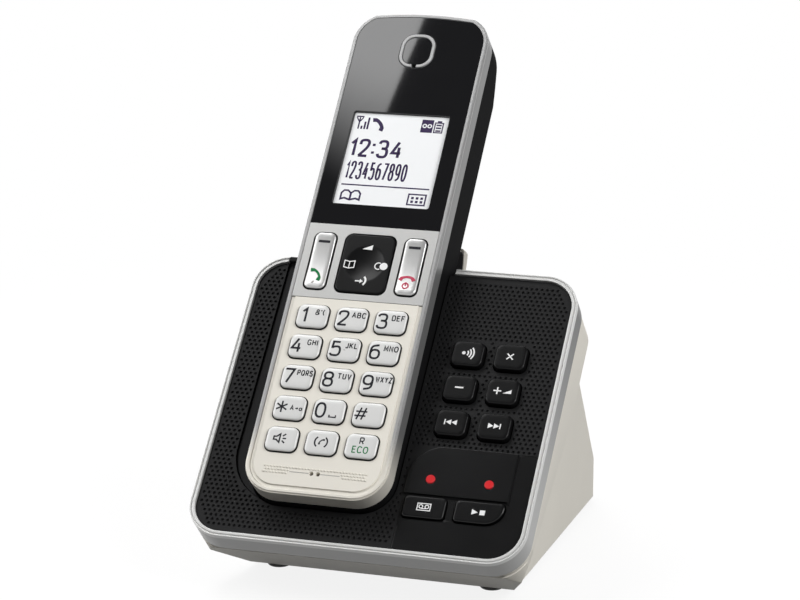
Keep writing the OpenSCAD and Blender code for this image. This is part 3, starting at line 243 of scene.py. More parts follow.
class Finish(Nodes):
    """A material with one Principled shader."""

    def __init__(self, name, **constants):
        self.material = bpy.data.materials.new(name)
        self.material.use_nodes = True
        super().__init__(self.material.node_tree)
        surface = self.node("BsdfPrincipled")
        self.node("OutputMaterial", {0: surface})
        self.shader = surface.socket.node
        self.shade(**constants)

    def shade(self, **sockets):
        """Sets or links the shader's sockets, with _ for a space."""
        self.feed(self.shader, {k.replace("_", " "): v for k, v in sockets.items()})

    def place(self):
        return self.node("TexCoord", output="Object")

    def on_face(self, face):
        """Place in a face's frame, in millimetres."""
        turn = face.to_euler()
        return self.node("Mapping", {"Vector": self.place(), "Location": face.translation,
                                     "Rotation": (turn.x, turn.y, turn.z), "Scale": (MM, MM, MM)},
                         vector_type="TEXTURE")

    def along(self, face, axis):
        return self.part(self.on_face(face), axis)

    def paint_gap_shade(self, rgb, height):
        """Painted shade below a height over the handset's face, in the narrow gaps around its keys.
        """
        if height is None:
            return rgb
        x, y, z = (self.along(ON_HANDSET, axis) for axis in range(3))
        aside = self.node("Math", {0: x}, operation="ABSOLUTE")
        open_air = (z > height) + (aside > FACE_HALF) + (y < FACE_LOW)
        return self.mix(open_air, GAP_SHADE_TONE, rgb)

    def noise(self, scale, detail):
        return self.node("TexNoise", {"Vector": self.place(), "Scale": scale, "Detail": detail})

    def flakes(self):
        return self.node("TexVoronoi", {"Vector": self.place(), "Scale": FLAKE_SCALE})

    def mix(self, factor, first, second):
        return self.node("Mix", {0: factor, 6: first, 7: second}, 2, data_type="RGBA")

    def bump(self, height, strength, distance):
        return self.node("Bump", {"Height": height, "Strength": strength, "Distance": distance})


def tone(rgb, gain=1.0):
    """A colour made lighter or darker, with its alpha."""
    return tuple(min(1.0, c * gain) for c in rgb) + (1.0,)


def moulded(name, rgb, rough, grain=5200.0, relief=0.25, specular=0.5, shade_below=None):
    """Moulded plastic: a spark-eroded grain that roughness follows, and a slow drift of tone."""
    finish = Finish(name, Specular_IOR_Level=specular)
    cloud, pebble = finish.noise(38.0, 3.0), finish.noise(grain, 2.0)
    shown = finish.mix(cloud, tone(rgb, 0.95), tone(rgb, 1.05))
    finish.shade(Base_Color=finish.paint_gap_shade(shown, shade_below), Roughness=(pebble - 0.5) * 0.22 + rough,
                 Normal=finish.bump(pebble, relief, GRAIN_DEPTH))
    return finish.material


def painted(name, rgb, rough, metallic, sparkle, shade_below):
    """Metallic paint: fine flakes that differ in tone, under a thin lacquer."""
    finish = Finish(name, Metallic=metallic, Coat_Weight=0.25, Coat_Roughness=LACQUER)
    flake, cloud = finish.flakes(), finish.noise(60.0, 2.0)
    shown = finish.mix(flake, tone(rgb, 1 + sparkle), tone(rgb, 1 - sparkle))
    finish.shade(Base_Color=finish.paint_gap_shade(shown, shade_below), Roughness=(cloud - 0.5) * 0.10 + rough,
                 Normal=finish.bump(flake, 0.04, FLAKE_DEPTH))
    return finish.material


def graded(name, rgb, *changes):
    """Metallic paint with changes of tone: to which tone, on which face and axis, from and to."""
    finish = Finish(name, Metallic=0.25, Specular_IOR_Level=0.2, Coat_Weight=0.06,
                    Coat_Roughness=LACQUER)
    flake = finish.flakes()
    shown = tone(rgb)
    # The changes lay painted shade and light into the tone, along the face
    for other, face, axis, start, end in changes:
        share = finish.smooth(finish.along(face, axis), start, end)
        shown = finish.mix(share, shown, tone(other))
    finish.shade(Base_Color=shown, Roughness=flake * 0.08 + 0.30,
                 Normal=finish.bump(flake, 0.04, FLAKE_DEPTH))
    return finish.material


def speckled(name, rgb, rough, spread, scale, detail, gains, **constants):
    """A finish whose tone and roughness follow one noise."""
    finish = Finish(name, **constants)
    speck = finish.noise(scale, detail)
    finish.shade(Base_Color=finish.mix(speck, *(tone(rgb, gain) for gain in gains)),
                 Roughness=(speck - 0.5) * spread + rough)
    return finish.material


def polished(name, rgb, rough, specular=0.5):
    """Polished plastic: nearly a mirror, with faint wiping marks in its gloss."""
    return speckled(name, rgb, rough, spread=rough * 0.3, scale=120.0, detail=5.0,
                    gains=(0.9, 1.1), IOR=1.5, Specular_IOR_Level=specular)


def printed(name, rgb, rough=0.5):
    """Ink or foil, a little uneven in tone."""
    return speckled(name, rgb, rough, spread=0.15, scale=2600.0, detail=2.0,
                    gains=(0.92, 1.06), Specular_IOR_Level=0.15)


def plated(name, rgb):
    """Plated metal with fine brushing."""
    return speckled(name, rgb, 0.25, spread=0.2, scale=3200.0, detail=3.0,
                    gains=(0.85, 1.05), Metallic=1.0)


def lit_display(name, rgb):
    """Display glass: bright and even, with the faint grid of its dots."""
    finish = Finish(name, Roughness=0.28, IOR=1.5, Emission_Strength=0.09)
    dots = finish.node("TexChecker", {"Vector": finish.on_face(ON_HANDSET), "Scale": 2.6}, 1)
    pale = finish.mix(finish.noise(55.0, 2.0), tone(rgb, 0.98), tone(rgb, 1.02))
    glow = finish.mix(dots * 0.08, pale, tone(rgb, 0.86))
    finish.shade(Base_Color=glow, Emission_Color=glow)
    return finish.material


FINISHES = {}


def finish_of(name):
    """The finish of that name, made once from the colours in the scene."""
    if not FINISHES:
        c = bpy.context.scene.phone_colours
        FINISHES.update(
            cream=moulded("cream_plastic", c.cream, 0.5, specular=0.12),
            # shade_below: painted shade in the gaps, below that height over the handset's face
            bezel=moulded("bezel_plastic", c.cream, 0.42, shade_below=-0.12, specular=0.3),
            # Painted shade: the rim's side darker than its silver top, and darker still towards its
            # upper end
            rim=graded("rim_paint", c.rim_side_shaded, (c.rim_upper_shade, ON_PANEL, 1, 5.0, 100.0),
                       (c.silver, ON_PANEL, 2, -1.0, -0.5)),
            # Painted shade and light: the band's side darker than its edge, and cream at the foot,
            # partly its own colour and partly painted light
            band=graded("band_paint", c.band_side_shaded, (c.band, ON_HANDSET, 2, -1.4, -0.8),
                        (c.cream, ON_HANDSET, 1, 26.0, 8.0)),
            # The plate gets painted shade in its gaps too, below shade_below
            plate=painted("plate_paint", c.plate, 0.36, 0.2, 0.07, shade_below=-0.12),
            charcoal=moulded("charcoal_plastic", c.charcoal, 0.52, 6000.0, 0.2, specular=0.14),
            black=moulded("black_plastic", c.black, 0.5, 5600.0, 0.18, specular=0.004),
            case_black=moulded("case_plastic", c.case, 0.5, 5600.0, 0.18, specular=0.004),
            liner_black=moulded("liner_plastic", c.charcoal, 0.5, 5600.0, 0.18, specular=0.1),
            gloss_black=polished("polished_black", c.lens, 0.025),
            satin_black=polished("satin_black", c.satin, 0.22, 0.28),
            base_key=polished("base_key_black", c.black, 0.30, 0.14),
            nav_black=polished("nav_black", c.satin, 0.30, 0.18),
            # The keys' sides get painted shade below shade_below, for the gaps around them
            key_grey=painted("key_paint", c.key, 0.36, 0.1, 0.05, shade_below=0.4),
            long_key=painted("long_key_paint", c.long_key, 0.30, 0.6, 0.05, shade_below=0.12),
            display=lit_display("lit_display", c.display),
            lamp=polished("lamp_red", c.lamp, 0.2),
            rubber=moulded("foot_rubber", (0.035, 0.035, 0.035), 0.75, 2600.0, 0.5),
            steel=plated("screw_plate", (0.55, 0.55, 0.56)),
            contact=plated("contact_gold", (0.83, 0.62, 0.22)),
            board=moulded("solder_mask", (0.02, 0.14, 0.05), 0.35, 2400.0, 0.3),
            cell=printed("cell_sleeve", (0.05, 0.24, 0.12), 0.35),
        )
        for ink in ("dark", "grey", "light", "display", "green", "red"):
            FINISHES["ink_" + ink] = printed(ink + "_ink", getattr(c, "ink_" + ink))
    return FINISHES[name]


# Modelling

def deselect():
    """Leaves edit mode, and nothing selected."""
    if bpy.context.object and bpy.context.object.mode != "OBJECT":
        bpy.ops.object.mode_set(mode="OBJECT")
    bpy.ops.object.select_all(action="DESELECT")


def only(obj):
    """Leaves just this object selected and active, in object mode."""
    deselect()
    obj.select_set(True)
    bpy.context.view_layer.objects.active = obj


def rename(obj, name):
    """Names an object and its mesh."""
    obj.name = name
    obj.data.name = name
    return obj


def add(name, operator, **settings):
    """Adds an object with an operator, with nothing else selected."""
    deselect()
    operator(**settings)
    bpy.context.object.name = name
    return bpy.context.object


def edit(obj):
    """Opens an object for editing, all selected."""
    only(obj)
    bpy.ops.object.mode_set(mode="EDIT")
    bpy.ops.mesh.select_mode(type="VERT")
    bpy.ops.mesh.select_all(action="SELECT")


def pick(obj, test):
    """Selects the vertices that pass a test on their place, in edit mode."""
    bpy.ops.mesh.select_all(action="DESELECT")
    bpy.ops.object.mode_set(mode="OBJECT")
    for v in obj.data.vertices:
        v.select = test(v.co)
    bpy.ops.object.mode_set(mode="EDIT")


def close(obj):
    """Merges doubles, turns the faces outwards and leaves edit mode."""
    bpy.ops.mesh.select_all(action="SELECT")
    bpy.ops.mesh.remove_doubles(threshold=MERGE)
    bpy.ops.mesh.normals_make_consistent(inside=False)
    bpy.ops.object.mode_set(mode="OBJECT")
    return obj


def modify(obj, kind, **settings):
    """Adds a modifier, sets it and applies it."""
    only(obj)
    mod = obj.modifiers.new(kind.title(), kind)
    for key, value in settings.items():
        setattr(mod, key, value)
    bpy.ops.object.modifier_apply(modifier=mod.name)
    return obj


def join(name, parts):
    """Joins parts into one piece of that name."""
    deselect()
    for part in parts:
        part.select_set(True)
    bpy.context.view_layer.objects.active = parts[0]
    if len(parts) > 1:
        bpy.ops.object.join()
    return rename(parts[0], name)


def seat(obj, place):
    """Sets a piece drawn in millimetres on a face, with its place in its mesh."""
    only(obj)
    obj.matrix_world = place @ obj.matrix_world
    bpy.ops.object.transform_apply(location=True, rotation=True, scale=True)
    return obj


def shade(obj, angle=SMOOTH_ANGLE):
    """Smooths the rounded edges and keeps the large faces flat."""
    only(obj)
    bpy.ops.object.shade_smooth_by_angle(angle=angle)
    return modify(obj, "WEIGHTED_NORMAL", mode="FACE_AREA", weight=100, keep_sharp=True)


def clothe(obj, finish):
    """Gives a piece its one finish."""
    obj.data.materials.clear()
    obj.data.materials.append(finish_of(finish))
    return obj


def stand_for(obj, node, finish):
    """Dresses a piece that takes a node's place."""
    clothe(obj, finish)
    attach(obj, BODY_OF[node])
    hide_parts(node)
    return obj


def copy_of(obj, name):
    """A copy with a mesh of its own."""
    only(obj)
    bpy.ops.object.duplicate()
    return rename(bpy.context.object, name)


def soften(node, finish, edge=None, segments=2):
    """Copies a node, merges and rounds the copy's edges, and puts it in the node's place."""
    edge = bpy.context.scene.phone_sizes.shell_edge if edge is None else edge
    piece = copy_of(frame["nodes"][node], node + "_dressed")
    piece.parent = None
    for key in list(piece.keys()):
        del piece[key]
    edit(piece)
    bpy.ops.mesh.customdata_custom_splitnormals_clear()
    bpy.ops.mesh.remove_doubles(threshold=MERGE_COPY)
    bpy.ops.mesh.dissolve_limited(angle_limit=FLAT_ANGLE)
    bpy.ops.object.mode_set(mode="OBJECT")
    modify(piece, "BEVEL", width=edge * MM, segments=segments, limit_method="ANGLE",
           angle_limit=BEVEL_ANGLE, use_clamp_overlap=False, loop_slide=False)
    return stand_for(shade(piece), node, finish)


def round_corners(radius, steps):
    """Rounds the selected corners of a flat face."""
    bpy.ops.mesh.bevel(offset=radius, segments=steps, affect="VERTICES", clamp_overlap=False)


def slab(name, w, l, r, big, low, height):
    """A rounded slab, raised from a depth, whose lower right corner can be larger."""
    obj = add(name, bpy.ops.mesh.primitive_plane_add, size=1)
    obj.scale = (w, l, 1)
    bpy.ops.object.transform_apply(scale=True)
    edit(obj)
    if big:
        pick(obj, lambda co: not (co.x > 0 and co.y < 0))
    round_corners(r, CORNER_STEPS)
    if big:
        pick(obj, lambda co: co.x > w / 2 - 0.01 and co.y < 0.01 - l / 2)
        round_corners(big, 2 * CORNER_STEPS)
    bpy.ops.mesh.select_all(action="SELECT")
    bpy.ops.transform.translate(value=(0, 0, -low))
    bpy.ops.mesh.extrude_region_move(TRANSFORM_OT_translate={"value": (0, 0, height)})
    return obj


def round_over(edge):
    """Draws the selected face in and up along a quarter round."""
    for i in range(ROUND_STEPS):
        a, b = (math.radians(90 * step / ROUND_STEPS) for step in (i, i + 1))
        bpy.ops.mesh.inset(thickness=edge * (math.cos(a) - math.cos(b)),
                           depth=edge * (math.sin(b) - math.sin(a)))


def key_cap(name, w, l, r, low, rise, edge, hollow, big=None, grow=FLANGE):
    """A key: flange, stem and round-edged cap; hollow holds further insets and rises of its top."""
    flange = close(slab(name, w + 2 * grow, l + 2 * grow, r + grow, big + grow if big else None,
                        low, FLANGE_T))
    cap = slab(name + "_cap", w, l, r, big, low, low + rise - edge)
    round_over(edge)
    for inset, depth in hollow:
        bpy.ops.mesh.inset(thickness=inset, depth=depth)
    return join(name, [flange, close(cap)])


def scatter(obj, places):
    """Repeats a small shape at each of the places, in one mesh."""
    verts = [v.co.copy() for v in obj.data.vertices]
    faces = [tuple(p.vertices) for p in obj.data.polygons]
    obj.data.clear_geometry()
    obj.data.from_pydata([(co.x + u, co.y + v, co.z) for u, v in places for co in verts], [],
                         [tuple(k + n * len(verts) for k in face)
                          for n in range(len(places)) for face in faces])
    return obj


def stud(name, foot, top, height, sink, sides=8):
    """A small frustum that stands up, or lies sunk, at the middle of a face."""
    obj = add(name, bpy.ops.mesh.primitive_cone_add, vertices=sides, radius1=foot, radius2=top,
              depth=height, location=(0, 0, height / 2 - sink))
    bpy.ops.object.transform_apply(location=True)
    return obj


# Flat signs, as closed loops of points

def path(text):
    """Points of a line or a loop, from pairs of numbers."""
    return [tuple(map(float, pair.split(","))) for pair in text.split()]


def arc(cx, cy, r, start, end, steps=14):
    """Points along part of a circle."""
    angles = [math.radians(start + (end - start) * i / steps) for i in range(steps + 1)]
    return [(cx + r * math.cos(a), cy + r * math.sin(a)) for a in angles]


def band(cx, cy, r, t, start, end):
    """Part of a ring."""
    return arc(cx, cy, r + t / 2, start, end) + arc(cx, cy, r - t / 2, end, start)


def ring(cx, cy, r, t):
    """Both edges of a ring."""
    return [arc(cx, cy, edge, 0, 360 - 360 / RING_STEPS, RING_STEPS - 1)
            for edge in (r + t / 2, r - t / 2)]


def bar(x0, y0, x1, y1, t):
    """A straight stroke."""
    d = Vector((x1 - x0, y1 - y0)).normalized() * (t / 2)
    return [(x0 - d.y, y0 + d.x), (x0 + d.y, y0 - d.x), (x1 + d.y, y1 - d.x), (x1 - d.y, y1 + d.x)]


def box(x0, y0, x1, y1):
    return [(x0, y0), (x1, y0), (x1, y1), (x0, y1)]


def frame_of(x0, y0, x1, y1, t):
    return [box(x0, y0, x1, y1), box(x0 + t, y0 + t, x1 - t, y1 - t)]


def mirrored(loop):
    return [(-x, y) for x, y in loop]


def turned(loop, degrees, x=0.0, y=0.0, scale=1.0):
    """A loop that is turned, scaled and moved."""
    a = math.radians(degrees)
    return [(x + scale * (px * math.cos(a) - py * math.sin(a)),
             y + scale * (px * math.sin(a) + py * math.cos(a))) for px, py in loop]


def receiver(degrees, x, y, scale, stout=0.62):
    """A telephone receiver: a flat bow with two square ends."""
    half = [(2.3, -0.5), (1.4, -1.05), (0.95, 0.4 - stout)]
    loop = (arc(0, -3.4, 4.0, 115, 65, 10) + half + arc(0, -3.4, 4.0 - stout, 75, 105, 6)
            + mirrored(reversed(half)))
    return turned(loop, degrees, x, y, scale)


def flat_sign(name, loops, z, ink):
    """Makes a thin printed sign from closed loops; a loop inside a loop is a hole."""
    obj = add(name, bpy.ops.curve.primitive_bezier_circle_add)
    curve = obj.data
    curve.dimensions = "2D"
    curve.fill_mode = "BOTH"
    curve.splines.clear()
    for loop in loops:
        spline = curve.splines.new("POLY")
        spline.points.add(len(loop) - 1)
        for point, (x, y) in zip(spline.points, loop):
            point.co = (x, y, 0, 1)
        spline.use_cyclic_u = True
    curve.extrude = ink / 2
    bpy.ops.object.convert(target="MESH")
    obj.location.z = z + ink / 2
    bpy.ops.object.transform_apply(location=True)
    return obj


# Strokes of the glyphs: ~ starts a curve, o a closed curve, and the others are straight
GLYPHS = {
    "0": "o0,0 4,0 4,6 0,6",
    "1": "0.4,4.6 2,6 2,0",
    "2": "~0.1,4.4 0.2,6.1 4.1,6.2 4,3.6 0.2,0; 0,0 4,0",
    "3": "~0.2,5 0.6,6.1 3.9,6.1 3.9,3.2 1.4,3.2; "
         "~1.4,3.2 4.2,3.2 4.2,-0.1 0.4,-0.1 0,1.1",
    "4": "2.6,6 0,1.7 4,1.7; 3,4 3,0",
    "5": "3.7,6 0.7,6 0.5,3.1; ~0.5,3.2 1.4,3.9 4.2,3.9 4.2,-0.1 0.4,-0.1 0,0.8",
    "6": "~3.4,6 0,5.4 0,1.8; o0,0 4,0 4,3.8 0,3.8",
    "7": "0,6 4,6 1.3,0",
    "8": "o0.2,3.2 3.8,3.2 3.8,6 0.2,6; o0,0 4,0 4,3.2 0,3.2",
    "9": "~0.6,0 4,0.6 4,4.2; o4,6 0,6 0,2.2 4,2.2",
    "A": "0,0 2,6 4,0; 0.8,2 3.2,2",
    "B": "0.3,0 0.3,6; "
         "~0.3,6 2,6 3.7,6 3.7,3.2 2,3.2 0.3,3.2; ~0.3,3.2 2.2,3.2 4,3.2 4,0 2.2,0 0.3,0",
    "C": "~3.9,4.9 3.2,6 0,6 0,0 3.2,0 3.9,1.1",
    "D": "0.3,0 0.3,6; ~0.3,6 1.6,6 4,6 4,0 1.6,0 0.3,0",
    "E": "3.6,6 0.4,6 0.4,0 3.7,0; 0.4,3.1 3.2,3.1",
    "F": "3.6,6 0.4,6 0.4,0; 0.4,3.1 3.1,3.1",
    "G": "~3.9,4.9 3.2,6 0,6 0,0 3.9,0 3.9,2.6; 2.3,2.6 3.9,2.6",
    "H": "0.3,0 0.3,6; 3.7,0 3.7,6; 0.3,3.1 3.7,3.1",
    "I": "2,0 2,6",
    "J": "~2.6,6 2.6,1.5 2.6,0 1.4,0 0.4,0 0.3,1.2",
    "K": "0.4,0 0.4,6; 3.8,6 0.6,2.6; 1.5,3.6 3.9,0",
    "L": "0.4,6 0.4,0 3.6,0",
    "M": "0,0 0.2,6 2.2,1.6 4.2,6 4.4,0",
    "N": "0.3,0 0.3,6 3.7,0 3.7,6",
    "O": "o-0.2,0 4.2,0 4.2,6 -0.2,6",
    "P": "0.3,0 0.3,6; ~0.3,6 2,6 3.9,6 3.9,2.7 2,2.7 0.3,2.7",
    "Q": "o-0.2,0 4.2,0 4.2,6 -0.2,6; 2.5,1.7 4.1,-0.3",
    "R": "0.3,0 0.3,6; ~0.3,6 2,6 3.9,6 3.9,2.7 2,2.7 0.3,2.7; 2,2.7 3.9,0",
    "S": "~3.7,5 3.2,6 0.2,6.2 0.2,3.2 3.9,2.9 3.9,-0.2 0.6,0 0.1,1.1",
    "T": "0,6 4,6; 2,6 2,0",
    "U": "~0.3,6 0.3,2.6 0.3,0 3.7,0 3.7,2.6 3.7,6",
    "V": "0,6 2,0 4,6",
    "W": "0,6 1.2,0 2.4,5 3.6,0 4.8,6",
    "X": "0,0 4,6; 0,6 4,0",
    "Y": "0,6 2,3 4,6; 2,3 2,0",
    "Z": "0,6 4,6 0,0 4,0",
    "&": "o0.7,3.3 3.3,3.3 3.3,6 0.7,6; "
         "~1.4,3.4 -0.2,2.8 -0.2,0 1.8,0 3.4,0.2 4,2.6; 1.2,3.6 4,0",
    "'": "0.6,6 0.4,4.4",
    "(": "~1.6,6.4 0.4,4.6 0.4,1.4 1.6,-0.4",
    "a": "o0,0 3.2,0 3.2,3.4 0,3.4; 3.2,3.5 3.2,0",
    ">": "0,2.4 2.4,2.4; 2,3.6 3.2,2.4 2,1.2",
    ":": "0.4,1 0.4,1.9; 0.4,4 0.4,4.9",
}


def rounded(points, closed):
    """Cuts a line's corners three times, which makes a smooth curve of it."""
    for _ in range(3):
        pairs = list(zip(points, points[1:] + points[:1] if closed else points[1:]))
        cutting = [q for a, b in pairs for q in (a.lerp(b, 0.25), a.lerp(b, 0.75))]
        points = cutting if closed else [points[0]] + cutting[1:-1] + [points[-1]]
    return points


def ribbon(points, width, closed):
    """Outline of a stroke of even width along a line, mitred at its corners."""
    left, right = [], []
    for i, p in enumerate(points):
        before = p - points[i - 1] if closed or i else points[1] - p
        after = points[(i + 1) % len(points)] - p if closed or i < len(points) - 1 else before
        side = Vector((-before.y, before.x)).normalized()
        across = (side + Vector((-after.y, after.x)).normalized()).normalized()
        across *= width / 2 / max(MITRE, across.dot(side))
        left.append(tuple(p + across))
        right.append(tuple(p - across))
    return [left, right] if closed else [left + right[::-1]]


def strokes_of(letter):
    """A glyph's strokes: whether each is closed, and its points."""
    for stroke in GLYPHS[letter].split("; "):
        points = [Vector(place) for place in path(stroke.lstrip("~o"))]
        closed = stroke[0] == "o"
        yield closed, rounded(points, closed) if stroke[0] in "~o" else points


def words(name, text, height, x, y, z, ink, weight, squeeze=0.95):
    """Makes thin printed lettering, centred on a point; strokes of a glyph lie in layers."""
    scale = Vector((squeeze * height / GLYPH_H, height / GLYPH_H))
    space = GLYPH_SPACE + weight / scale.x
    layers = {}
    at = 0.0
    for letter in text:
        strokes = list(strokes_of(letter))
        across = [p.x for _, points in strokes for p in points]
        for layer, (closed, points) in enumerate(strokes):
            moved = [(p + Vector((at - min(across), 0))) * scale for p in points]
            layers.setdefault(layer, []).extend(ribbon(moved, weight, closed))
        at += max(across) - min(across) + space
    shift = (x - (at - space) * scale.x / 2, y - height / 2)
    return [flat_sign(name, [turned(loop, 0, *shift) for loop in loops], z, ink)
            for loops in layers.values()]


def print_on(name, parts, node, place, finish):
    """Joins signs into one legend that rides with a node's body."""
    piece = clothe(seat(join(name, parts), place), finish)
    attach(piece, BODY_OF[node])


def print_layers(name, layers, z, ink, node, place, finish):
    """Prints a legend whose loops lie in layers, so that they may cross."""
    print_on(name, [flat_sign(name, loops, z, ink) for loops in layers], node, place, finish)


class PhoneOperator:
    """What the operators share: shells that they soften, and a step that builds the rest."""
    bl_options = {"REGISTER", "UNDO"}
    shells = ()

    def execute(self, context):
        for shell in self.shells:
            soften(*shell)
        self.build(context.scene.phone_sizes)
        return {"FINISHED"}

    def build(self, sizes):
        """Builds nothing more, unless an operator says so."""


class PHONE_OT_housing(PhoneOperator, bpy.types.Operator):
    """Cream housing with its bottom cover"""
    bl_idname = "phone.housing"
    bl_label = "Housing"
    shells = (("rear_housing", "cream", 0.3, 3), ("bottom_cover", "cream"))


class PHONE_OT_feet_and_screws(PhoneOperator, bpy.types.Operator):
    """Rubber feet, and the screws of base and handset"""
    bl_idname = "phone.feet_and_screws"
    bl_label = "Feet and Screws"
    shells = (("rubber_feet", "rubber", 0.2), ("base_screws", "steel", 0.1),
              ("case_screws", "steel", 0.1))


class PHONE_OT_rim(PhoneOperator, bpy.types.Operator):
    """Silver rim with its two fine ridges"""
    bl_idname = "phone.rim"
    bl_label = "Rim"
    shells = (("rim_trim", "rim", 0.18),)


def inside_round(u, v, w, low, high, r, margin):
    """Whether a point lies in a rounded rectangle, centred on u = 0, by at least a margin."""
    du = abs(u) - (w / 2 - r)
    dv = max(low + r - v, v - (high - r))
    if du > 0 and dv > 0:
        return math.hypot(du, dv) < r - margin
    return abs(u) < w / 2 - margin and low + margin < v < high - margin


def beside(u, v, left, right, foot, r, margin):
    """Whether a point lies in an opening with two rounded corners at its foot, or near it."""
    return inside_round(u - (left + right) / 2, v, right - left, foot, foot + PANEL_L, r, -margin)


def in_field(u, v):
    """Whether a dimple has room at a point of the panel."""
    shelf = (SHELF_LEFT, 2 * HANDSET_X - SHELF_LEFT, SHELF_FOOT, SHELF_R, SHELF_CLEAR)
    return not (not inside_round(u, v, PANEL_W, 0, PANEL_L, PANEL_R, RIM_CLEAR)
                or beside(u, v, TRAY_LEFT, TRAY_RIGHT, TRAY_FOOT, TRAY_R, TRAY_CLEAR)
                or u < HANDSET_X and beside(u, v, *shelf)
                or u > CTRL_X - CTRL_CLEAR and v < CTRL_TOP + CTRL_CLEAR
                or any(abs(u - BASE_KEY_X - c * BASE_KEY_PX) < BASE_KEY_W / 2 + KEY_CLEAR
                       and abs(v - BASE_KEY_Y - r * BASE_KEY_PY) < BASE_KEY_L / 2 + KEY_CLEAR
                       for c in range(2) for r in range(3)))


def dimple_places(pitch):
    """Middles of the dimples, in rows that are set off by half a pitch."""
    rows, half = pitch * DIMPLE_ROWS, int(PANEL_W / pitch)
    places = [((i + 0.5 * (j % 2)) * pitch, j * rows)
              for j in range(int(PANEL_L / rows) + 1) for i in range(-half, half)]
    return [place for place in places if in_field(*place)]


class PHONE_OT_front_panel(PhoneOperator, bpy.types.Operator):
    """Charcoal panel with its field of dimples"""
    bl_idname = "phone.front_panel"
    bl_label = "Front Panel"

    def build(self, sizes):
        panel = soften("front_panel", "charcoal", 0.15)
        pit = stud("dimples", sizes.dimple_width * 0.3, sizes.dimple_width * 0.56,
                   DIMPLE_H, DIMPLE_DEEP)
        seat(scatter(pit, dimple_places(sizes.dimple_pitch)), ON_PANEL)
        world = panel.matrix_world.copy()
        modify(panel, "BOOLEAN", object=pit, operation="DIFFERENCE", solver="MANIFOLD")
        panel.matrix_world = world
        bpy.data.objects.remove(pit)
        shade(panel, PANEL_ANGLE)


class PHONE_OT_cradle(PhoneOperator, bpy.types.Operator):
    """Black cradle tray with its contacts"""
    bl_idname = "phone.cradle"
    bl_label = "Cradle"
    shells = (("cradle_liner", "liner_black", 0.35, 3), ("cradle_contacts", "contact", 0.1))


class PHONE_OT_control_plate(PhoneOperator, bpy.types.Operator):
    """Glossy control plate with its leaf and lamps"""
    bl_idname = "phone.control_plate"
    bl_label = "Control Plate"
    shells = (("control_plate", "satin_black", 0.18), ("lamp_windows", "lamp", 0.2, 3))

    def build(self, sizes):
        edge = CTRL_X + LEAF_W
        line = box(edge + 0.2, LEAF_Y - 0.3, edge + 0.45, CTRL_TOP - 0.5)
        print_layers("leaf_line", [[line]], 0.0, sizes.ink, "control_plate", ON_PANEL, "charcoal")


def base_signs():
    """Signs of the base keys by node, in layers of loops around the middle of each key."""
    waves = [turned(band(0, 0, r, 0.48, -42, 42), 0, -0.9) for r in (1.2, 2.15, 3.1)]
    stroke = bar(-1.5, 0, 1.5, 0, 0.42)
    back = [box(-2.2, -0.95, -1.8, 0.95), path("-1.7,0 0.1,0.95 0.1,-0.95"),
            path("0.2,0 2,0.95 2,-0.95")]
    tape = frame_of(-2.3, -1.35, 2.3, 1.35, 0.32)
    tape += ring(-1.0, 0.1, 0.6, 0.32) + ring(1.0, 0.1, 0.6, 0.32)
    return {"key_locate": [waves + [arc(-1.2, 0, 0.62, 0, 340, 16)]],
            "key_erase": [[turned(stroke, 45)], [turned(stroke, 135)]],
            "key_volume_down": [[bar(-1.4, 0, 1.4, 0, 0.55)]],
            "key_volume_up": [[bar(-2.9, 0, -0.3, 0, 0.46)],
                              [bar(-1.6, -1.3, -1.6, 1.3, 0.46),
                               path("0.3,-0.8 3.1,-0.8 3.1,0.65")]],
            "key_skip_back": [back],
            "key_skip_forward": [[mirrored(loop) for loop in back]],
            "key_answer": [tape, [box(-0.75, -0.72, 0.75, -0.42)]],
            "key_play": [[path("-2.3,0.95 -2.3,-0.95 -0.3,0"), box(0.3, -0.85, 2.0, 0.85)]]}


def base_key(cap, node, spot, finish, height, ink):
    """Puts a cap in the place of a base key, and prints its sign."""
    stand_for(shade(seat(cap, spot)), node, finish)
    print_layers(node + "_sign", base_signs()[node], height, ink, node, spot, "ink_light")


class PHONE_OT_base_keys(PhoneOperator, bpy.types.Operator):
    """Small and large keys of the base, with their signs"""
    bl_idname = "phone.base_keys"
    bl_label = "Base Keys"

    def build(self, sizes):
        rows = (("key_skip_back", "key_skip_forward"), ("key_volume_down", "key_volume_up"),
                ("key_locate", "key_erase"))
        model = key_cap("base_key_model", BASE_KEY_W, BASE_KEY_L, BASE_KEY_R, BASE_KEY_LOW,
                        BASE_KEY_RISE, sizes.key_edge, BASE_KEY_HOLLOW)
        for r, row in enumerate(rows):
            for c, node in enumerate(row):
                spot = ON_PANEL @ Matrix.Translation((BASE_KEY_X + c * BASE_KEY_PX,
                                                      BASE_KEY_Y + r * BASE_KEY_PY, 0))
                cap = copy_of(model, node + "_cap")
                base_key(cap, node, spot, "base_key", BASE_KEY_RISE, sizes.ink)
        bpy.data.objects.remove(model)
        right_x = WIDE_X + WIDE_LEFT_W + WIDE_GAP + WIDE_RIGHT_W / 2
        for node, x, w, big in (("key_answer", WIDE_X + WIDE_LEFT_W / 2, WIDE_LEFT_W, None),
                                ("key_play", right_x, WIDE_RIGHT_W, WIDE_BIG_R)):
            spot = ON_PANEL @ Matrix.Translation((x, WIDE_Y + WIDE_L / 2, 0))
            cap = key_cap(node + "_cap", w, WIDE_L, WIDE_R, BASE_KEY_LOW, LEAF_RISE, WIDE_EDGE,
                          WIDE_HOLLOW, big, WIDE_FLANGE)
            base_key(cap, node, spot, "satin_black", LEAF_RISE, sizes.ink)


class PHONE_OT_base_inside(PhoneOperator, bpy.types.Operator):
    """Sockets, board, mat and speaker of the base"""
    bl_idname = "phone.base_inside"
    bl_label = "Inside of the Base"
    shells = (("line_jack", "black", 0.15), ("dc_jack", "black", 0.15),
              ("base_speaker", "black", 0.15), ("base_board", "board", 0.1),
              ("base_key_mat", "rubber", 0.1))


